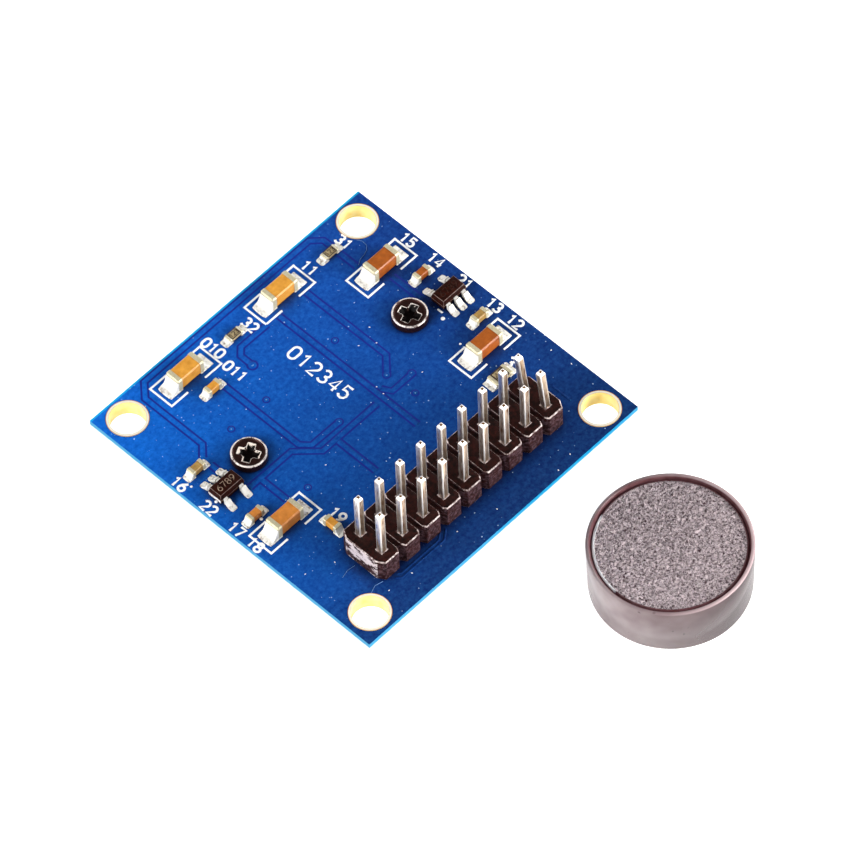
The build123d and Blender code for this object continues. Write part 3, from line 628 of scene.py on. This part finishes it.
# Moulded black ABS, on the lens holder: dark grey, with a fine matt grain
holder_plastic = material("moulded_black_abs", body_nodes, "26262A", "1A1A1C", 0.45, 2.0, 0.15, 0.02)
# Moulded black polycarbonate, on the lens barrel: a little darker and glossier
barrel_plastic = material("moulded_black_polycarbonate", body_nodes, "202022", "161618", 0.35, 2.0, 0.15,
                          0.01)
# The sensor's package, pressed from ceramic: dark grey and even
sensor_ceramic = material("sensor_package_ceramic", body_nodes, "3A3A40", "2C2C32", 0.4, 0.8, 0.1, 0.01)
# Ground and coated lens glass: clear, with a violet sheen
lens_glass = material("coated_lens_glass", glass_nodes, "F4F6FF", 0.01)
# Filter glass, which holds back infrared: clear, with a faint green tint
filter_glass = material("infrared_filter_glass", glass_nodes, "C8F0E8", 0.02)

# Each solid's finish
finishes = {"board": solder_mask, "corner_plating": gold, "header_housing": header_nylon,
            "header_pins": pin_tin, "header_joints": solder, "capacitor_solder": solder,
            "resistor_solder": solder, "regulator_solder": solder, "resistor_ends": chip_metal,
            "regulator_leads": lead_tin, "lens_holder": holder_plastic, "holder_screws": black_steel,
            "infrared_filter": filter_glass, "image_sensor": sensor_ceramic, "sensor_glass": filter_glass,
            "lens_barrel": barrel_plastic, "retaining_ring": barrel_plastic, "front_lens": lens_glass,
            "middle_lens": lens_glass, "rear_lens": lens_glass, "front_spacer": barrel_plastic,
            "rear_spacer": barrel_plastic, "aperture_stop": barrel_plastic, "lens_cap": cap_plastic,
            "regulator_u1": epoxy_black, "regulator_u2": epoxy_black, }
for clay, chips in ((ceramic_amber, ("c1", "c10", "c9", "c11")), (ceramic_orange, ("c8", "c7")),
                    (ceramic_brown, ("c2", "c4", "c5")), (ceramic_ochre, ("c3", "c6"))):
    for chip in chips:
        finishes["capacitor_" + chip] = clay
        finishes["capacitor_" + chip + "_ends"] = chip_metal
for chip in (*small_resistors, *large_resistors):
    finishes["resistor_" + chip] = thick_film
for name, node in nodes.items():
    for each in node.material_slots:
        each.material = finishes[name]


def lines(name, runs, width, height, base, finish, slot="board_blue"):
    """Low rounded lines along runs of places on the board's face, as one mesh."""
    piece = drawn(name, [[(x, y, 0) for x, y in run] for run in runs])
    piece.data.bevel_depth = mm(width / 2)
    piece.data.bevel_resolution = 2
    piece.data.use_fill_caps = True
    bpy.ops.object.convert(target="MESH")
    edit_all()
    bpy.ops.transform.resize(value=(1, 1, 2 * height / width), center_override=(0, 0, 0))
    bpy.ops.transform.translate(value=mm(0, 0, base))
    bpy.ops.mesh.normals_make_consistent(inside=False)
    bpy.ops.object.mode_set(mode="OBJECT")
    smooth(50)
    return settle(bpy.context.active_object, name, finish, slot)


# Copper runs: each is a line of copper under the mask, with a gap of bare laminate along both sides
copper_runs = [
    [(-12.75, 7.0), (-11.78, 8.0), (-11.78, 15.0), (-10.6, 16.3), (9.9, 16.3), (10.8, 15.4), (10.8, 14.3)],
    [(10.78, 13.4), (10.78, 11.3)],
    [(12.14, 8.3), (12.14, 4.9)],
    [(5.78, 12.6), (5.78, 2.9), (4.28, 1.37)],
    [(2.37, 12.6), (2.37, -4.2)],
    [(1.0, 12.73), (-2.25, 12.73), (-2.92, 12.1), (-2.94, 10.64)],
    [(-6.14, 11.0), (-6.14, 1.85), (-5.4, 1.0), (-2.07, 0.95)],
    [(-12.2, 1.84), (-7.1, 1.84), (-5.2, -0.13), (1.5, -0.13)],
    [(2.9, 0.7), (3.4, -0.17), (6.1, -0.17)],
    [(-10.92, 1.6), (-10.92, -1.4)],
    [(-3.55, -0.4), (-3.55, -4.9)],
    [(-12.8, 6.0), (-12.8, 4.95)],
]
buried_runs = [
    [(-10.3, -13.8), (-9.9, -14.2), (-4.7, -14.2), (-3.8, -13.5)],
    [(-9.9, -13.6), (-9.6, -13.85), (-5.0, -13.85), (-4.4, -13.4)],
    [(13.2, -10.0), (13.2, -12.2)],
]
lines("copper_gaps", copper_runs, gap_w, gap_h, 0, bare_gap)
lines("copper_runs", copper_runs, run_w, run_h, 0, solder_mask)
lines("copper_ridges", buried_runs, 0.22, run_h, 0, solder_mask)

# Copper runs on the lens side, narrower: they fan in from the pin joints towards the sensor under the
# holder
rear_runs = []
for column in range(columns):
    x = (column - middle_column) * pitch
    lean = (column - middle_column) * 0.55
    bend_y = -7.2 + abs(lean) * 0.5
    rear_runs.append([(x, -8.75), (x, bend_y), (x - lean, -7.2 + abs(lean) * 1.5), (x - lean, -3.22)])
rear_runs += [
    [(-11.0, -9.59), (-12.4, -9.59), (-13.4, -8.6), (-13.4, 6.3), (-12.4, 7.27), (-7.31, 7.27)],
    [(11.0, -9.59), (12.4, -9.59), (13.4, -8.6), (13.4, 8.4), (12.0, 9.8), (7.31, 9.8)],
    [(-4.0, 11.38), (-4.0, 13.2), (-2.8, 14.4), (6.0, 14.4)],
    [(4.0, 11.38), (4.0, 12.2), (5.2, 13.4), (9.6, 13.4)],
]
lines("rear_copper_gaps", rear_runs, gap_w * 0.8, gap_h, -board_t, bare_gap)
lines("rear_copper_runs", rear_runs, run_w * 0.7, run_h, -board_t, solder_mask)


def disc(x, y, r, sides):
    """A flat disc on the board, in edit mode, to be inset."""
    deselect()
    bpy.ops.mesh.primitive_circle_add(vertices=sides, radius=mm(r), fill_type="NGON", location=mm(x, y, 0))
    edit_all()
    return bpy.context.active_object


def lands(name, places, outer, finish, height, dish):
    """Low round lands, each with a sunk middle."""
    made = []
    for x, y, r in places:
        made.append(disc(x, y, r * outer, 28))
        bpy.ops.mesh.inset(thickness=mm(0.04), depth=mm(height))
        bpy.ops.mesh.inset(thickness=mm(r * 0.45))
        bpy.ops.mesh.inset(thickness=mm(r * 0.2), depth=mm(-dish))
        bpy.ops.object.mode_set(mode="OBJECT")
    settle(gather(made, 50), name, finish, "board_blue")


def dots(name, places, finish, height):
    """Low round dots with a sloping edge."""
    made = []
    for x, y, r in places:
        made.append(disc(x, y, r, 20))
        bpy.ops.mesh.inset(thickness=mm(0.03), depth=mm(height))
        bpy.ops.object.mode_set(mode="OBJECT")
    settle(gather(made), name, finish, "board_blue")


# Through-holes filled over by the mask, at the ends of runs: middle and radius
hole_places = [(-2.94, 10.64, 0.39), (-2.07, 0.95, 0.3), (4.28, 1.37, 0.3), (5.9, -0.1, 0.3),
               (-8.96, 7.27, 0.26), (-4.71, 7.2, 0.26), (3.83, 7.2, 0.26), (-8.78, -1.83, 0.26),
               (4.61, -1.78, 0.26)]
lands("hole_gaps", hole_places, 1.42, bare_gap, gap_h + 0.004, 0)
lands("filled_holes", hole_places, 1.0, solder_mask, run_h + 0.004, 0.02)
dots("hole_middles", [(x, y, r * 0.36) for x, y, r in hole_places], via_mask, 0.026)
printed_dots = [(11.9, 1.92, 0.2), (-15.21, 2.92, 0.15), (-13.83, -1.17, 0.15), (11.0, -1.06, 0.11),
                (-15.56, 5.59, 0.12)]
dots("printed_dots", printed_dots, ink, ink_h)


def arc(x, y, rx, ry, start, end, steps=7):
    """Places along part of an ellipse, from one angle to another in degrees."""
    turns = [math.radians(start + (end - start) * i / steps) for i in range(steps + 1)]
    return [(x + rx * math.cos(a), y + ry * math.sin(a)) for a in turns]


# Strokes of plain digits, in a cell 0.6 wide and 1 high
digits = {
    "0": [arc(0.3, 0.7, 0.3, 0.3, 0, 180) + arc(0.3, 0.3, 0.3, 0.3, 180, 360) + [(0.6, 0.7)]],
    "1": [[(0.1, 0.78), (0.34, 1.0), (0.34, 0.0)]],
    "2": [arc(0.3, 0.7, 0.3, 0.3, 160, -35) + [(0.0, 0.0), (0.6, 0.0)]],
    "3": [arc(0.28, 0.75, 0.27, 0.25, 150, -90), arc(0.28, 0.25, 0.31, 0.25, 90, -150)],
    "4": [[(0.45, 0.0), (0.45, 1.0), (0.0, 0.3), (0.62, 0.3)]],
    "5": [[(0.56, 1.0), (0.08, 1.0), (0.05, 0.56)] + arc(0.28, 0.32, 0.31, 0.32, 105, -150)],
    "6": [[(0.5, 1.0), (0.12, 0.62)] + arc(0.3, 0.3, 0.3, 0.3, 150, 510, 12)],
    "7": [[(0.0, 1.0), (0.6, 1.0), (0.2, 0.0)]],
    "8": [arc(0.3, 0.76, 0.25, 0.24, 270, 630, 11), arc(0.3, 0.26, 0.3, 0.26, 90, 450, 12)],
    "9": [[(0.1, 0.0), (0.48, 0.38)] + arc(0.3, 0.7, 0.3, 0.3, -30, 330, 12)],
}


def digit_runs(text, x, y, height, spacing, along=(0, -1), top=(1, 0)):
    """Runs of a number whose middle is at x, y. It reads towards along, and its digits stand towards top."""
    runs = []
    start = -((len(text) - 1) * spacing + 0.6) / 2
    for place, digit in enumerate(text):
        for run in digits[digit]:
            spots = [((start + place * spacing + u) * height, (v - 0.5) * height) for u, v in run]
            runs.append([(x + s * along[0] + t * top[0], y + s * along[1] + t * top[1]) for s, t in spots])
    return runs


# Reference numbers beside the parts: plain numbers
labels = [("15", 15.88, 9.98), ("14", 16.0, 6.7), ("21", 16.0, 3.27), ("13", 16.0, -0.42),
          ("12", 15.92, -2.95), ("31", 11.9, 14.0), ("11", 7.81, 14.25), ("32", -0.04, 13.78),
          ("010", -3.98, 14.43), ("011", -4.4, 11.32), ("16", -16.07, 6.53), ("22", -16.08, 2.92),
          ("17", -16.07, -0.39), ("18", -16.07, -2.68), ("19", -9.05, -5.71), ("33", 12.6, -6.0)]
label_runs = []
for text, x, y in labels:
    label_runs += digit_runs(text, x, y, label_h, 0.85)
lines("reference_numbers", label_runs, 0.24, ink_h, 0, ink)
lines("large_numbers", digit_runs("012345", 0.5, 5.8, 1.36, 0.9), 0.23, ink_h, 0, ink)

# Two brackets round each large chip, and what shows of the outline printed round one regulator
bracket_x = 6.1
bracket_y = 2.65
arm = 2.0
bracket_runs = []
for x, y in large_chips.values():
    for side in (-1, 1):
        end_x = x + side * bracket_x / 2
        for edge_y in (y - bracket_y / 2, y + bracket_y / 2):
            bracket_runs.append([(end_x + side * ink_w / 2, edge_y), (end_x - side * arm, edge_y)])
        bracket_runs.append([(end_x, y - bracket_y / 2), (end_x, y + bracket_y / 2)])
bracket_runs.append([(12.32, 2.35), (12.32, 2.95)])
lines("outline_brackets", bracket_runs, ink_w, ink_h, 0, ink)

# Plain numbers printed on the resistors, each in a dark frame whose lines cross at its corners
frame_over = 0.02
for name, places, text, digit_h, half_x, half_y, line_w, top_z in (
        ("small_resistor_marks", small_resistors, "123", 0.42, 0.5, 0.36, 0.08, 0.45),
        ("large_resistor_marks", large_resistors, "45", 0.72, 0.6, 0.54, 0.12, 0.5)):
    marks = []
    for x, y in places.values():
        end_x = half_x + frame_over
        end_y = half_y + frame_over
        marks += digit_runs(text, x, y, digit_h, 0.8, (1, 0), (0, 1))
        marks += [[(x - end_x, y + side * half_y), (x + end_x, y + side * half_y)] for side in (-1, 1)]
        marks += [[(x + side * half_x, y - end_y), (x + side * half_x, y + end_y)] for side in (-1, 1)]
    lines(name, marks, line_w, 0.012, top_z, marking, "resistor_body")

# Faint numbers on the tops of the regulators
for name, (x, y), finish in (("regulator_1_marks", regulators["u1"], faint_marking),
                             ("regulator_2_marks", regulators["u2"], pale_marking)):
    marks = digit_runs("6789", x, y, 0.62, 0.84, (1, 0), (0, 1))
    lines(name, marks, 0.09, 0.01, 1.15, finish, "regulator_black")

# Tinned lands under the chips' ends: how far out from a chip's middle, and their two widths
made = []
for places, out_x, out_y, wide, deep in (
        (large_chips, 1.85, 0, 1.5, 1.66), (small_chips, 0.88, 0, 0.8, 0.9),
        (turned_chips, 0, 0.88, 0.9, 0.8), (small_resistors, 0.88, 0, 0.8, 0.9),
        (large_resistors, 1.1, 0, 0.9, 1.3)):
    for x, y in places.values():
        for side in (-1, 1):
            middle = mm(x + side * out_x, y + side * out_y, 0)
            deselect()
            bpy.ops.mesh.primitive_cube_add(size=1, location=middle, scale=mm(wide, deep, 0.12))
            bpy.ops.object.transform_apply(location=False, rotation=False, scale=True)
            round_edges(bpy.context.active_object, 0.055, 3)
            made.append(bpy.context.active_object)
settle(gather(made, 50), "tinned_lands", solder, "solder")


def wedge(reach, rise, foot, top, lumps):
    """One solder fillet at the origin, rising towards -X: a cube cut into slices that are then scaled."""
    deselect()
    bpy.ops.mesh.primitive_cube_add(size=1, location=(0.5, 0, 0.5))
    piece = bpy.context.active_object
    bpy.ops.object.transform_apply(location=True, rotation=False, scale=False)
    bpy.ops.object.mode_set(mode="EDIT")
    bpy.ops.mesh.subdivide(number_cuts=4)
    profile = [(1.0, top), (0.72, top * 0.9 + foot * 0.1), (0.3, foot * 0.94), (0.15, foot),
               (0.11, foot * 1.04), (0.06, foot * 0.88)]
    for step, (high, wide) in enumerate(profile):
        select_parts(piece, "VERT", lambda corner: abs(corner.co.x - step / 5) < 0.01)
        height = rise * high * (1 + lumps * math.sin(step * 2.6))
        bpy.ops.transform.resize(value=(1, wide, height), center_override=(0, 0, 0))
    bpy.ops.mesh.select_all(action="SELECT")
    bpy.ops.transform.resize(value=(reach, 1, 1), center_override=(0, 0, 0))
    bpy.ops.transform.resize(value=(0.001, 0.001, 0.001), center_override=(0, 0, 0))
    bpy.ops.transform.vertex_random(offset=mm(0.045), seed=3)
    bpy.ops.object.mode_set(mode="OBJECT")
    bpy.ops.object.modifier_add(type="SUBSURF")
    rounding = piece.modifiers[-1]
    rounding.levels = 2
    rounding.render_levels = 2
    bpy.ops.object.modifier_apply(modifier=rounding.name)
    return piece


def fillets(name, replaced, shapes):
    """Solder fillets as one piece. A shape is a wedge's five values and the places of its copies."""
    made = []
    for *values, places in shapes:
        model = wedge(*values)
        made += set_copies(model, places)
        bpy.data.objects.remove(model)
    join_copies(made, name, solder, "solder", replaced)


def end_places(places, out, sides=(-1, 1)):
    """Places at the ends of chips, a distance out from their middles, each turned to face away."""
    return [(x + side * out, y, 0 if side > 0 else 180) for x, y in places.values() for side in sides]


# Solder at the chip ends: the left end of each large chip is flooded to its top corner, the right end
# less so
fillets("chip_solder", "capacitor_solder", (
    (1.25, 1.5, 1.58, 1.52, 0.06, end_places(large_chips, large_chip_end, (-1,))),
    (1.1, 1.25, 1.5, 1.3, 0.04, end_places(large_chips, large_chip_end, (1,))),
    (0.66, 0.84, 0.86, 0.82, 0.05, end_places(small_chips, small_chip_end, (-1,))
     + [(x, y - small_chip_end, -90) for x, y in turned_chips.values()]),
    (0.62, 0.66, 0.8, 0.74, 0.03, end_places(small_chips, small_chip_end, (1,))
     + [(x, y + small_chip_end, 90) for x, y in turned_chips.values()])))
fillets("resistor_fillets", "resistor_solder", (
    (0.75, 0.5, 0.84, 0.8, 0.05, end_places(small_resistors, small_resistor_end)),
    (0.7, 0.5, 1.24, 1.2, 0.05, end_places(large_resistors, large_resistor_end))))

# Solder on the regulators' feet, with three feet on one side and two on the other
feet = []
for (x, y), three_side in zip(regulators.values(), (-1, 1)):
    turn = 90 * three_side
    feet += [(x + step * foot_pitch, y + three_side * foot_y, turn) for step in (-1, 0, 1)]
    feet += [(x + step * foot_pitch, y - three_side * foot_y, -turn) for step in (-1, 1)]
fillets("regulator_fillets", "regulator_solder", ((0.9, 0.74, 0.68, 0.56, 0.05, feet),))


def spun(profile, x, y, steps):
    """A turned shape: a profile of (reach, height) places spun round an upright axis at x, y."""
    drawn("profile", [[(x + reach, y, height) for reach, height in profile]])
    bpy.ops.object.convert(target="MESH")
    edit_all()
    bpy.ops.mesh.spin(steps=steps, angle=2 * math.pi, center=mm(x, y, 0), axis=(0, 0, 1))
    bpy.ops.mesh.select_all(action="SELECT")
    bpy.ops.mesh.remove_doubles(threshold=mm(0.002))
    bpy.ops.mesh.normals_make_consistent(inside=False)
    bpy.ops.object.mode_set(mode="OBJECT")
    return bpy.context.active_object


# Screws: pan heads with a cross recess, four short marks between its arms, and edges worn bright and painted
# bright as highlights; the recess is painted as shade and highlight
screw_profile = [(0, -5.2), (0.16, -5.2), (0.85, -4.4), (0.85, 0), (1.5, 0), (1.65, 0.1), (1.65, 0.6),
                 (1.62, 0.76), (1.56, 0.86), (1.48, 0.86), (1.38, 0.74), (1.26, 0.7), (1.1, 0.72),
                 (0, 0.76)]
arms = ((0, 2.36, 0.86, 0.55), (90, 2.36, 0.86, 0.55), (45, 1.86, 0.5, 0.3), (135, 1.86, 0.5, 0.3))
screws = []
for x, y, turn in screw_places:
    screw = spun(screw_profile, x, y, 64)
    cutters = []
    for extra, reach, width, depth in arms:
        deselect()
        bpy.ops.mesh.primitive_cube_add(size=1, location=mm(x, y, 1.1 - depth), scale=mm(reach, width, 0.7),
                                        rotation=(0, 0, math.radians(turn + extra)))
        cutter = bpy.context.active_object
        select_parts(cutter, "FACE", lambda face: face.normal.z < -0.5)
        bpy.ops.transform.resize(value=(0.5, 0.5, 1), center_override=mm(x, y, 0.2))
        bpy.ops.object.mode_set(mode="OBJECT")
        cutters.append(cutter)
    pick(screw)
    for cutter in cutters:
        bpy.ops.object.modifier_add(type="BOOLEAN")
        cut = screw.modifiers[-1]
        cut.operation = "DIFFERENCE"
        cut.object = cutter
        cut.solver = "EXACT"
        bpy.ops.object.modifier_apply(modifier=cut.name)
        bpy.data.objects.remove(cutter)
    screw.data.materials.clear()
    for finish in (black_steel, worn_and_highlit_steel, recess_steel):
        screw.data.materials.append(finish)
    round_edges(screw, 0.05, 2, 35, 1)
    for face in screw.data.polygons:
        middle = face.center * 1000
        reach = math.hypot(middle.x - x, middle.y - y)
        if middle.z < recess_top:
            face.material_index = 2 if middle.z > 0.05 and reach < recess_r else 0
        # Painted highlight: faces round the top of the rim take the worn, paler steel
        if reach > worn_highlit_rim_r and middle.z > worn_highlit_rim_z:
            face.material_index = 1
    screws.append(screw)
carry(gather(screws, 35), "screws", "screw_black", "holder_screws")

# Lens cap: drafted wall, rounded rim, and a grained face with a fine groove round it
cap_profile = [(0, -13.35), (6.6, -13.35), (6.6, -17.45), (6.75, -17.6), (7.2, -17.6), (7.32, -17.48),
               (7.45, -12.02), (7.43, -11.91), (7.37, -11.84), (7.28, -11.8), (7.18, -11.81), (7.11, -11.86),
               (7.06, -11.95), (7.01, -12.08), (6.98, -12.2), (6.93, -12.25), (6.87, -12.16), (6.81, -12.05),
               (6.74, -12.03), (6.66, -12.1)]
cap_profile += [(6.6 - 0.15 * ring, cap_face_z) for ring in range(44)] + [(0, cap_face_z)]
piece = spun(cap_profile, cap_x, cap_y, 240)
grain = bpy.data.textures.new("leather_grain", "CLOUDS")
grain.noise_scale = mm(0.3)
grain.noise_depth = 1
grained = piece.vertex_groups.new(name="grained_face")
grained_corners = []
for corner in piece.data.vertices:
    reach = math.hypot(corner.co.x * 1000 - cap_x, corner.co.y * 1000 - cap_y)
    if corner.co.z > mm(cap_face_z - 0.02) and reach < 6.62:
        grained_corners.append(corner.index)
grained.add(grained_corners, 1.0, "REPLACE")
pick(piece)
bpy.ops.object.modifier_add(type="DISPLACE")
relief = piece.modifiers[-1]
relief.texture = grain
relief.texture_coords = "LOCAL"
relief.vertex_group = grained.name
relief.direction = "Z"
relief.mid_level = 0.5
relief.strength = mm(0.27)
bpy.ops.object.modifier_apply(modifier=relief.name)
bpy.data.textures.remove(grain)
piece.vertex_groups.clear()
smooth(60)
settle(piece, "cap_shell", cap_plastic, "cap_black", "lens_cap")

# A moulded square collar round the foot of each pin, painted pale as a highlight
pin_places = [((column - middle_column) * pitch, header_y + row * pitch / 2, column, row)
              for column in range(columns) for row in (-1, 1)]
collar = spun([(0.46, 2.5), (0.49, 2.57), (0.55, 2.57), (0.61, 2.5)], 0, 0, 4)
join_copies(set_copies(collar, [(x, y, 45) for x, y, column, row in pin_places]), "pin_collars", header_edge_highlight,
            "header_black")
bpy.data.objects.remove(collar)

# Dust and fibres on the board
random.seed(5)
speck_places = [(6.89, 5.98), (4.83, 5.3), (6.1, 4.37), (2.78, 1.14), (2.67, 0.2), (-6.06, -1.33),
                (-15.3, -7.9), (-12.7, -8.9), (-11.6, -14.3), (-9.0, -14.5), (-3.3, -14.4), (15.9, -7.3),
                (16.05, -9.6), (9.1, -16.0), (7.2, -16.4), (0.7, -15.3), (6.6, -0.7)]
deselect()
bpy.ops.mesh.primitive_ico_sphere_add(subdivisions=1, radius=mm(0.06), location=(0, 0, 0))
speck = bpy.context.active_object
edit_all()
bpy.ops.transform.resize(value=(1.5, 0.8, 0.5), center_override=(0, 0, 0))
bpy.ops.object.mode_set(mode="OBJECT")
join_copies(set_copies(speck, [(x, y, random.uniform(0, 180)) for x, y in speck_places]), "dust", ink,
            "board_blue")
bpy.data.objects.remove(speck)
fibres = [[(12.8, 13.3), (13.05, 12.85), (13.0, 12.3), (12.65, 11.9), (12.1, 11.7), (11.5, 11.6),
          (11.0, 11.3)], [(-13.4, -10.5), (-12.6, -10.3), (-11.8, -10.4)],
          [(-12.9, -13.4), (-12.1, -13.1), (-11.3, -13.3)]]
lines("fibres", fibres, 0.04, 0.03, 0.02, fibre)


def rounded_copy(node, name, finish, edge_finish, width, segments, angle, slot):
    """A merged copy of a solid whose edges are rounded over, with the rounding in its own finish."""
    deselect()
    piece = nodes[node].copy()
    piece.data = nodes[node].data.copy()
    piece.parent = None
    for key in [key for key in piece.keys() if key.startswith("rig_")]:
        del piece[key]
    bpy.context.scene.collection.objects.link(piece)
    piece.matrix_world = Matrix.Identity(4)
    pick(piece)
    if piece.data.has_custom_normals:
        bpy.ops.mesh.customdata_custom_splitnormals_clear()
    edit_all()
    bpy.ops.mesh.remove_doubles(threshold=mm(0.001))
    bpy.ops.mesh.dissolve_limited(angle_limit=math.radians(0.5))
    bpy.ops.object.mode_set(mode="OBJECT")
    piece.data.materials.clear()
    piece.data.materials.append(finish)
    piece.data.materials.append(edge_finish)
    for face in piece.data.polygons:
        face.material_index = 0
    round_edges(piece, width, segments, angle, 1)
    smooth(40)
    return carry(piece, name, slot, node)


# Header housing: its top edges are already cut off at an angle in the solid; they and its foot are painted
# pale as highlights
piece = rounded_copy("header_housing", "header_blocks", header_nylon, header_edge_highlight, 0.03, 2, 25, "header_black")
for face in piece.data.polygons:
    middle = face.center * 1000
    slanted = 0.3 < face.normal.z < 0.97 and middle.z > 2.4
    foot = middle.z < 0.045 and abs(face.normal.z) < 0.97
    face.material_index = 1 if slanted or foot else 0

# Pins: square wire with rounded edges and blunt points, the last two bent in handling
last_pin_shift = {-1: (-0.42, 0.08), 1: (-0.45, 0.14)}
pins = []
for x, y, column, row in pin_places:
    deselect()
    bpy.ops.mesh.primitive_cube_add(size=1, location=mm(x, y, (pin_foot + pin_shoulder) / 2),
                                    scale=mm(pin_w, pin_w, pin_shoulder - pin_foot))
    pin = bpy.context.active_object
    bpy.ops.object.transform_apply(location=True, rotation=False, scale=True)
    for finish in (pin_tin, pin_edge_highlight, pin_cut):
        pin.data.materials.append(finish)
    heights = [corner.co.z for corner in pin.data.vertices]
    select_parts(pin, "EDGE",
                 lambda edge: abs(heights[edge.vertices[0]] - heights[edge.vertices[1]]) > mm(5))
    bpy.ops.mesh.bevel(offset=mm(0.1), segments=3, material=1)
    for side, end in ((1, pin_shoulder), (-1, pin_foot)):
        select_parts(pin, "FACE", lambda face: face.normal.z * side > 0.9)
        for rise, shrink in ((0.1, 0.93), (0.1, 0.84), (0.1, 0.5)):
            bpy.ops.mesh.extrude_region_move(TRANSFORM_OT_translate={"value": mm(0, 0, rise * side)})
            bpy.ops.transform.resize(value=(shrink, shrink, 1), center_override=mm(x, y, end))
    if column == columns - 1:
        bpy.ops.mesh.select_all(action="SELECT")
        bpy.ops.mesh.bisect(plane_co=mm(0, 0, housing_h), plane_no=(0, 0, 1))
        select_parts(pin, "VERT", lambda corner: corner.co.z > mm(3))
        bpy.ops.transform.translate(value=mm(*last_pin_shift[row], 0))
    bpy.ops.object.mode_set(mode="OBJECT")
    for face in pin.data.polygons:
        if abs(face.normal.z) > 0.9:
            face.material_index = 2
        elif abs(face.normal.z) > 0.3:
            face.material_index = 1
    pins.append(pin)
carry(gather(pins, 32), "pins", "pin_tin", "header_pins")

# Regulators: moulded bodies with edges painted pale as highlights, one of them white on the lower part of
# its left end
rounded_copy("regulator_u1", "regulator_body_1", epoxy_black, epoxy_edge_highlight, 0.035, 1, 20, "regulator_black")
piece = rounded_copy("regulator_u2", "regulator_body_2", epoxy_black, epoxy_edge_highlight, 0.035, 1, 20,
                  "regulator_black")
piece.data.materials.append(white_end_epoxy)
for face in piece.data.polygons:
    if face.normal.x < -0.8 and face.center.z < mm(0.6):
        face.material_index = 2


# Matt paper on the floor: pale, plain white where the camera or a mirror sees it, and still in the
# object's shadow
def paper_nodes(tree, place, here):
    seen = add(tree, "LightPath")
    seen_or_glossy = add(tree, "Math", {"operation": "MAXIMUM"},
            {0: (seen, "Is Camera Ray"), 1: (seen, "Is Glossy Ray")})
    background = add(tree, "Math", {"operation": "MAXIMUM"},
            {0: seen_or_glossy, 1: (seen, "Is Transmission Ray")})
    paper = add(tree, "BsdfDiffuse", {"Color": srgb("F4F4F2")})
    glow = add(tree, "Emission", {"Color": (1, 1, 1, 1), "Strength": 0.72})
    dark = add(tree, "Emission", {"Color": (0, 0, 0, 1), "Strength": 0.0})
    chosen = add(tree, "MixShader", links={0: background, 1: dark, 2: glow})
    return add(tree, "AddShader", links={0: paper, 1: chosen})


deselect()
bpy.ops.mesh.primitive_plane_add(size=3.0, location=mm(0, 0, floor_z))
floor = bpy.context.active_object
floor.name = "floor"
floor.data.materials.append(material("pale_paper", paper_nodes))

# World: white walls low down all round and a dimmer ceiling, and plain white where the camera sees it
world = bpy.data.worlds.new("studio")
bpy.context.scene.world = world
world.use_nodes = True
tree = world.node_tree
tree.nodes.clear()
seen = add(tree, "LightPath")
direction = add(tree, "TexCoord")
height = add(tree, "SeparateXYZ", links={"Vector": (direction, "Generated")})
wall = add(tree, "MapRange", {"From Min": 0.3, "From Max": 0.75, "To Min": 0.95, "To Max": 0.16},
        {"Value": (height, "Z")})
soft = add(tree, "Background", {"Color": (1, 1, 1, 1)}, {"Strength": wall})
white = add(tree, "Background", {"Color": (1, 1, 1, 1), "Strength": 1.0})
chosen = add(tree, "MixShader", links={0: (seen, "Is Camera Ray"), 1: soft, 2: white})
add(tree, "OutputWorld", links={"Surface": chosen})


def lamp(name, place, aim, size, power):
    """A square studio lamp that points at a place on the object."""
    deselect()
    bpy.ops.object.light_add(type="AREA", location=place)
    made = bpy.context.active_object
    made.name = name
    made.data.size = mm(size)
    made.data.energy = power
    made.rotation_euler = (Vector(aim) - Vector(place)).to_track_quat("-Z", "Y").to_euler()


lamp("left_lamp", mm(-350, 70, 200), mm(0, 0, 0), 240, 1.6)
lamp("right_lamp", mm(200, -350, 110), mm(0, 0, -4), 220, 2.55)
lamp("edge_lamp", mm(400, -40, 150), mm(5, -8, -4), 60, 0.35)

# Camera: the photograph's own direction, roll and reach
aim = mm(6.5122, -0.8062, -8.0)
camera_reach = mm(731.024)
roll = math.radians(2.774)
back = Vector((-0.388096, -0.405155, 0.827787)).normalized()
right = Vector((0, 0, 1)).cross(back).normalized()
up = back.cross(right)
across = right * math.cos(roll) - up * math.sin(roll)
eye = aim + back * camera_reach
bpy.ops.object.camera_add(location=eye)
camera = bpy.context.active_object
turned = Matrix((across, back.cross(across), back)).transposed().to_4x4()
camera.matrix_world = Matrix.Translation(eye) @ turned
camera.data.sensor_width = 36
camera.data.lens = 353.173
camera.data.clip_start = 0.05
camera.data.clip_end = 10
bpy.context.scene.camera = camera
bpy.context.scene.view_settings.view_transform = "Standard"
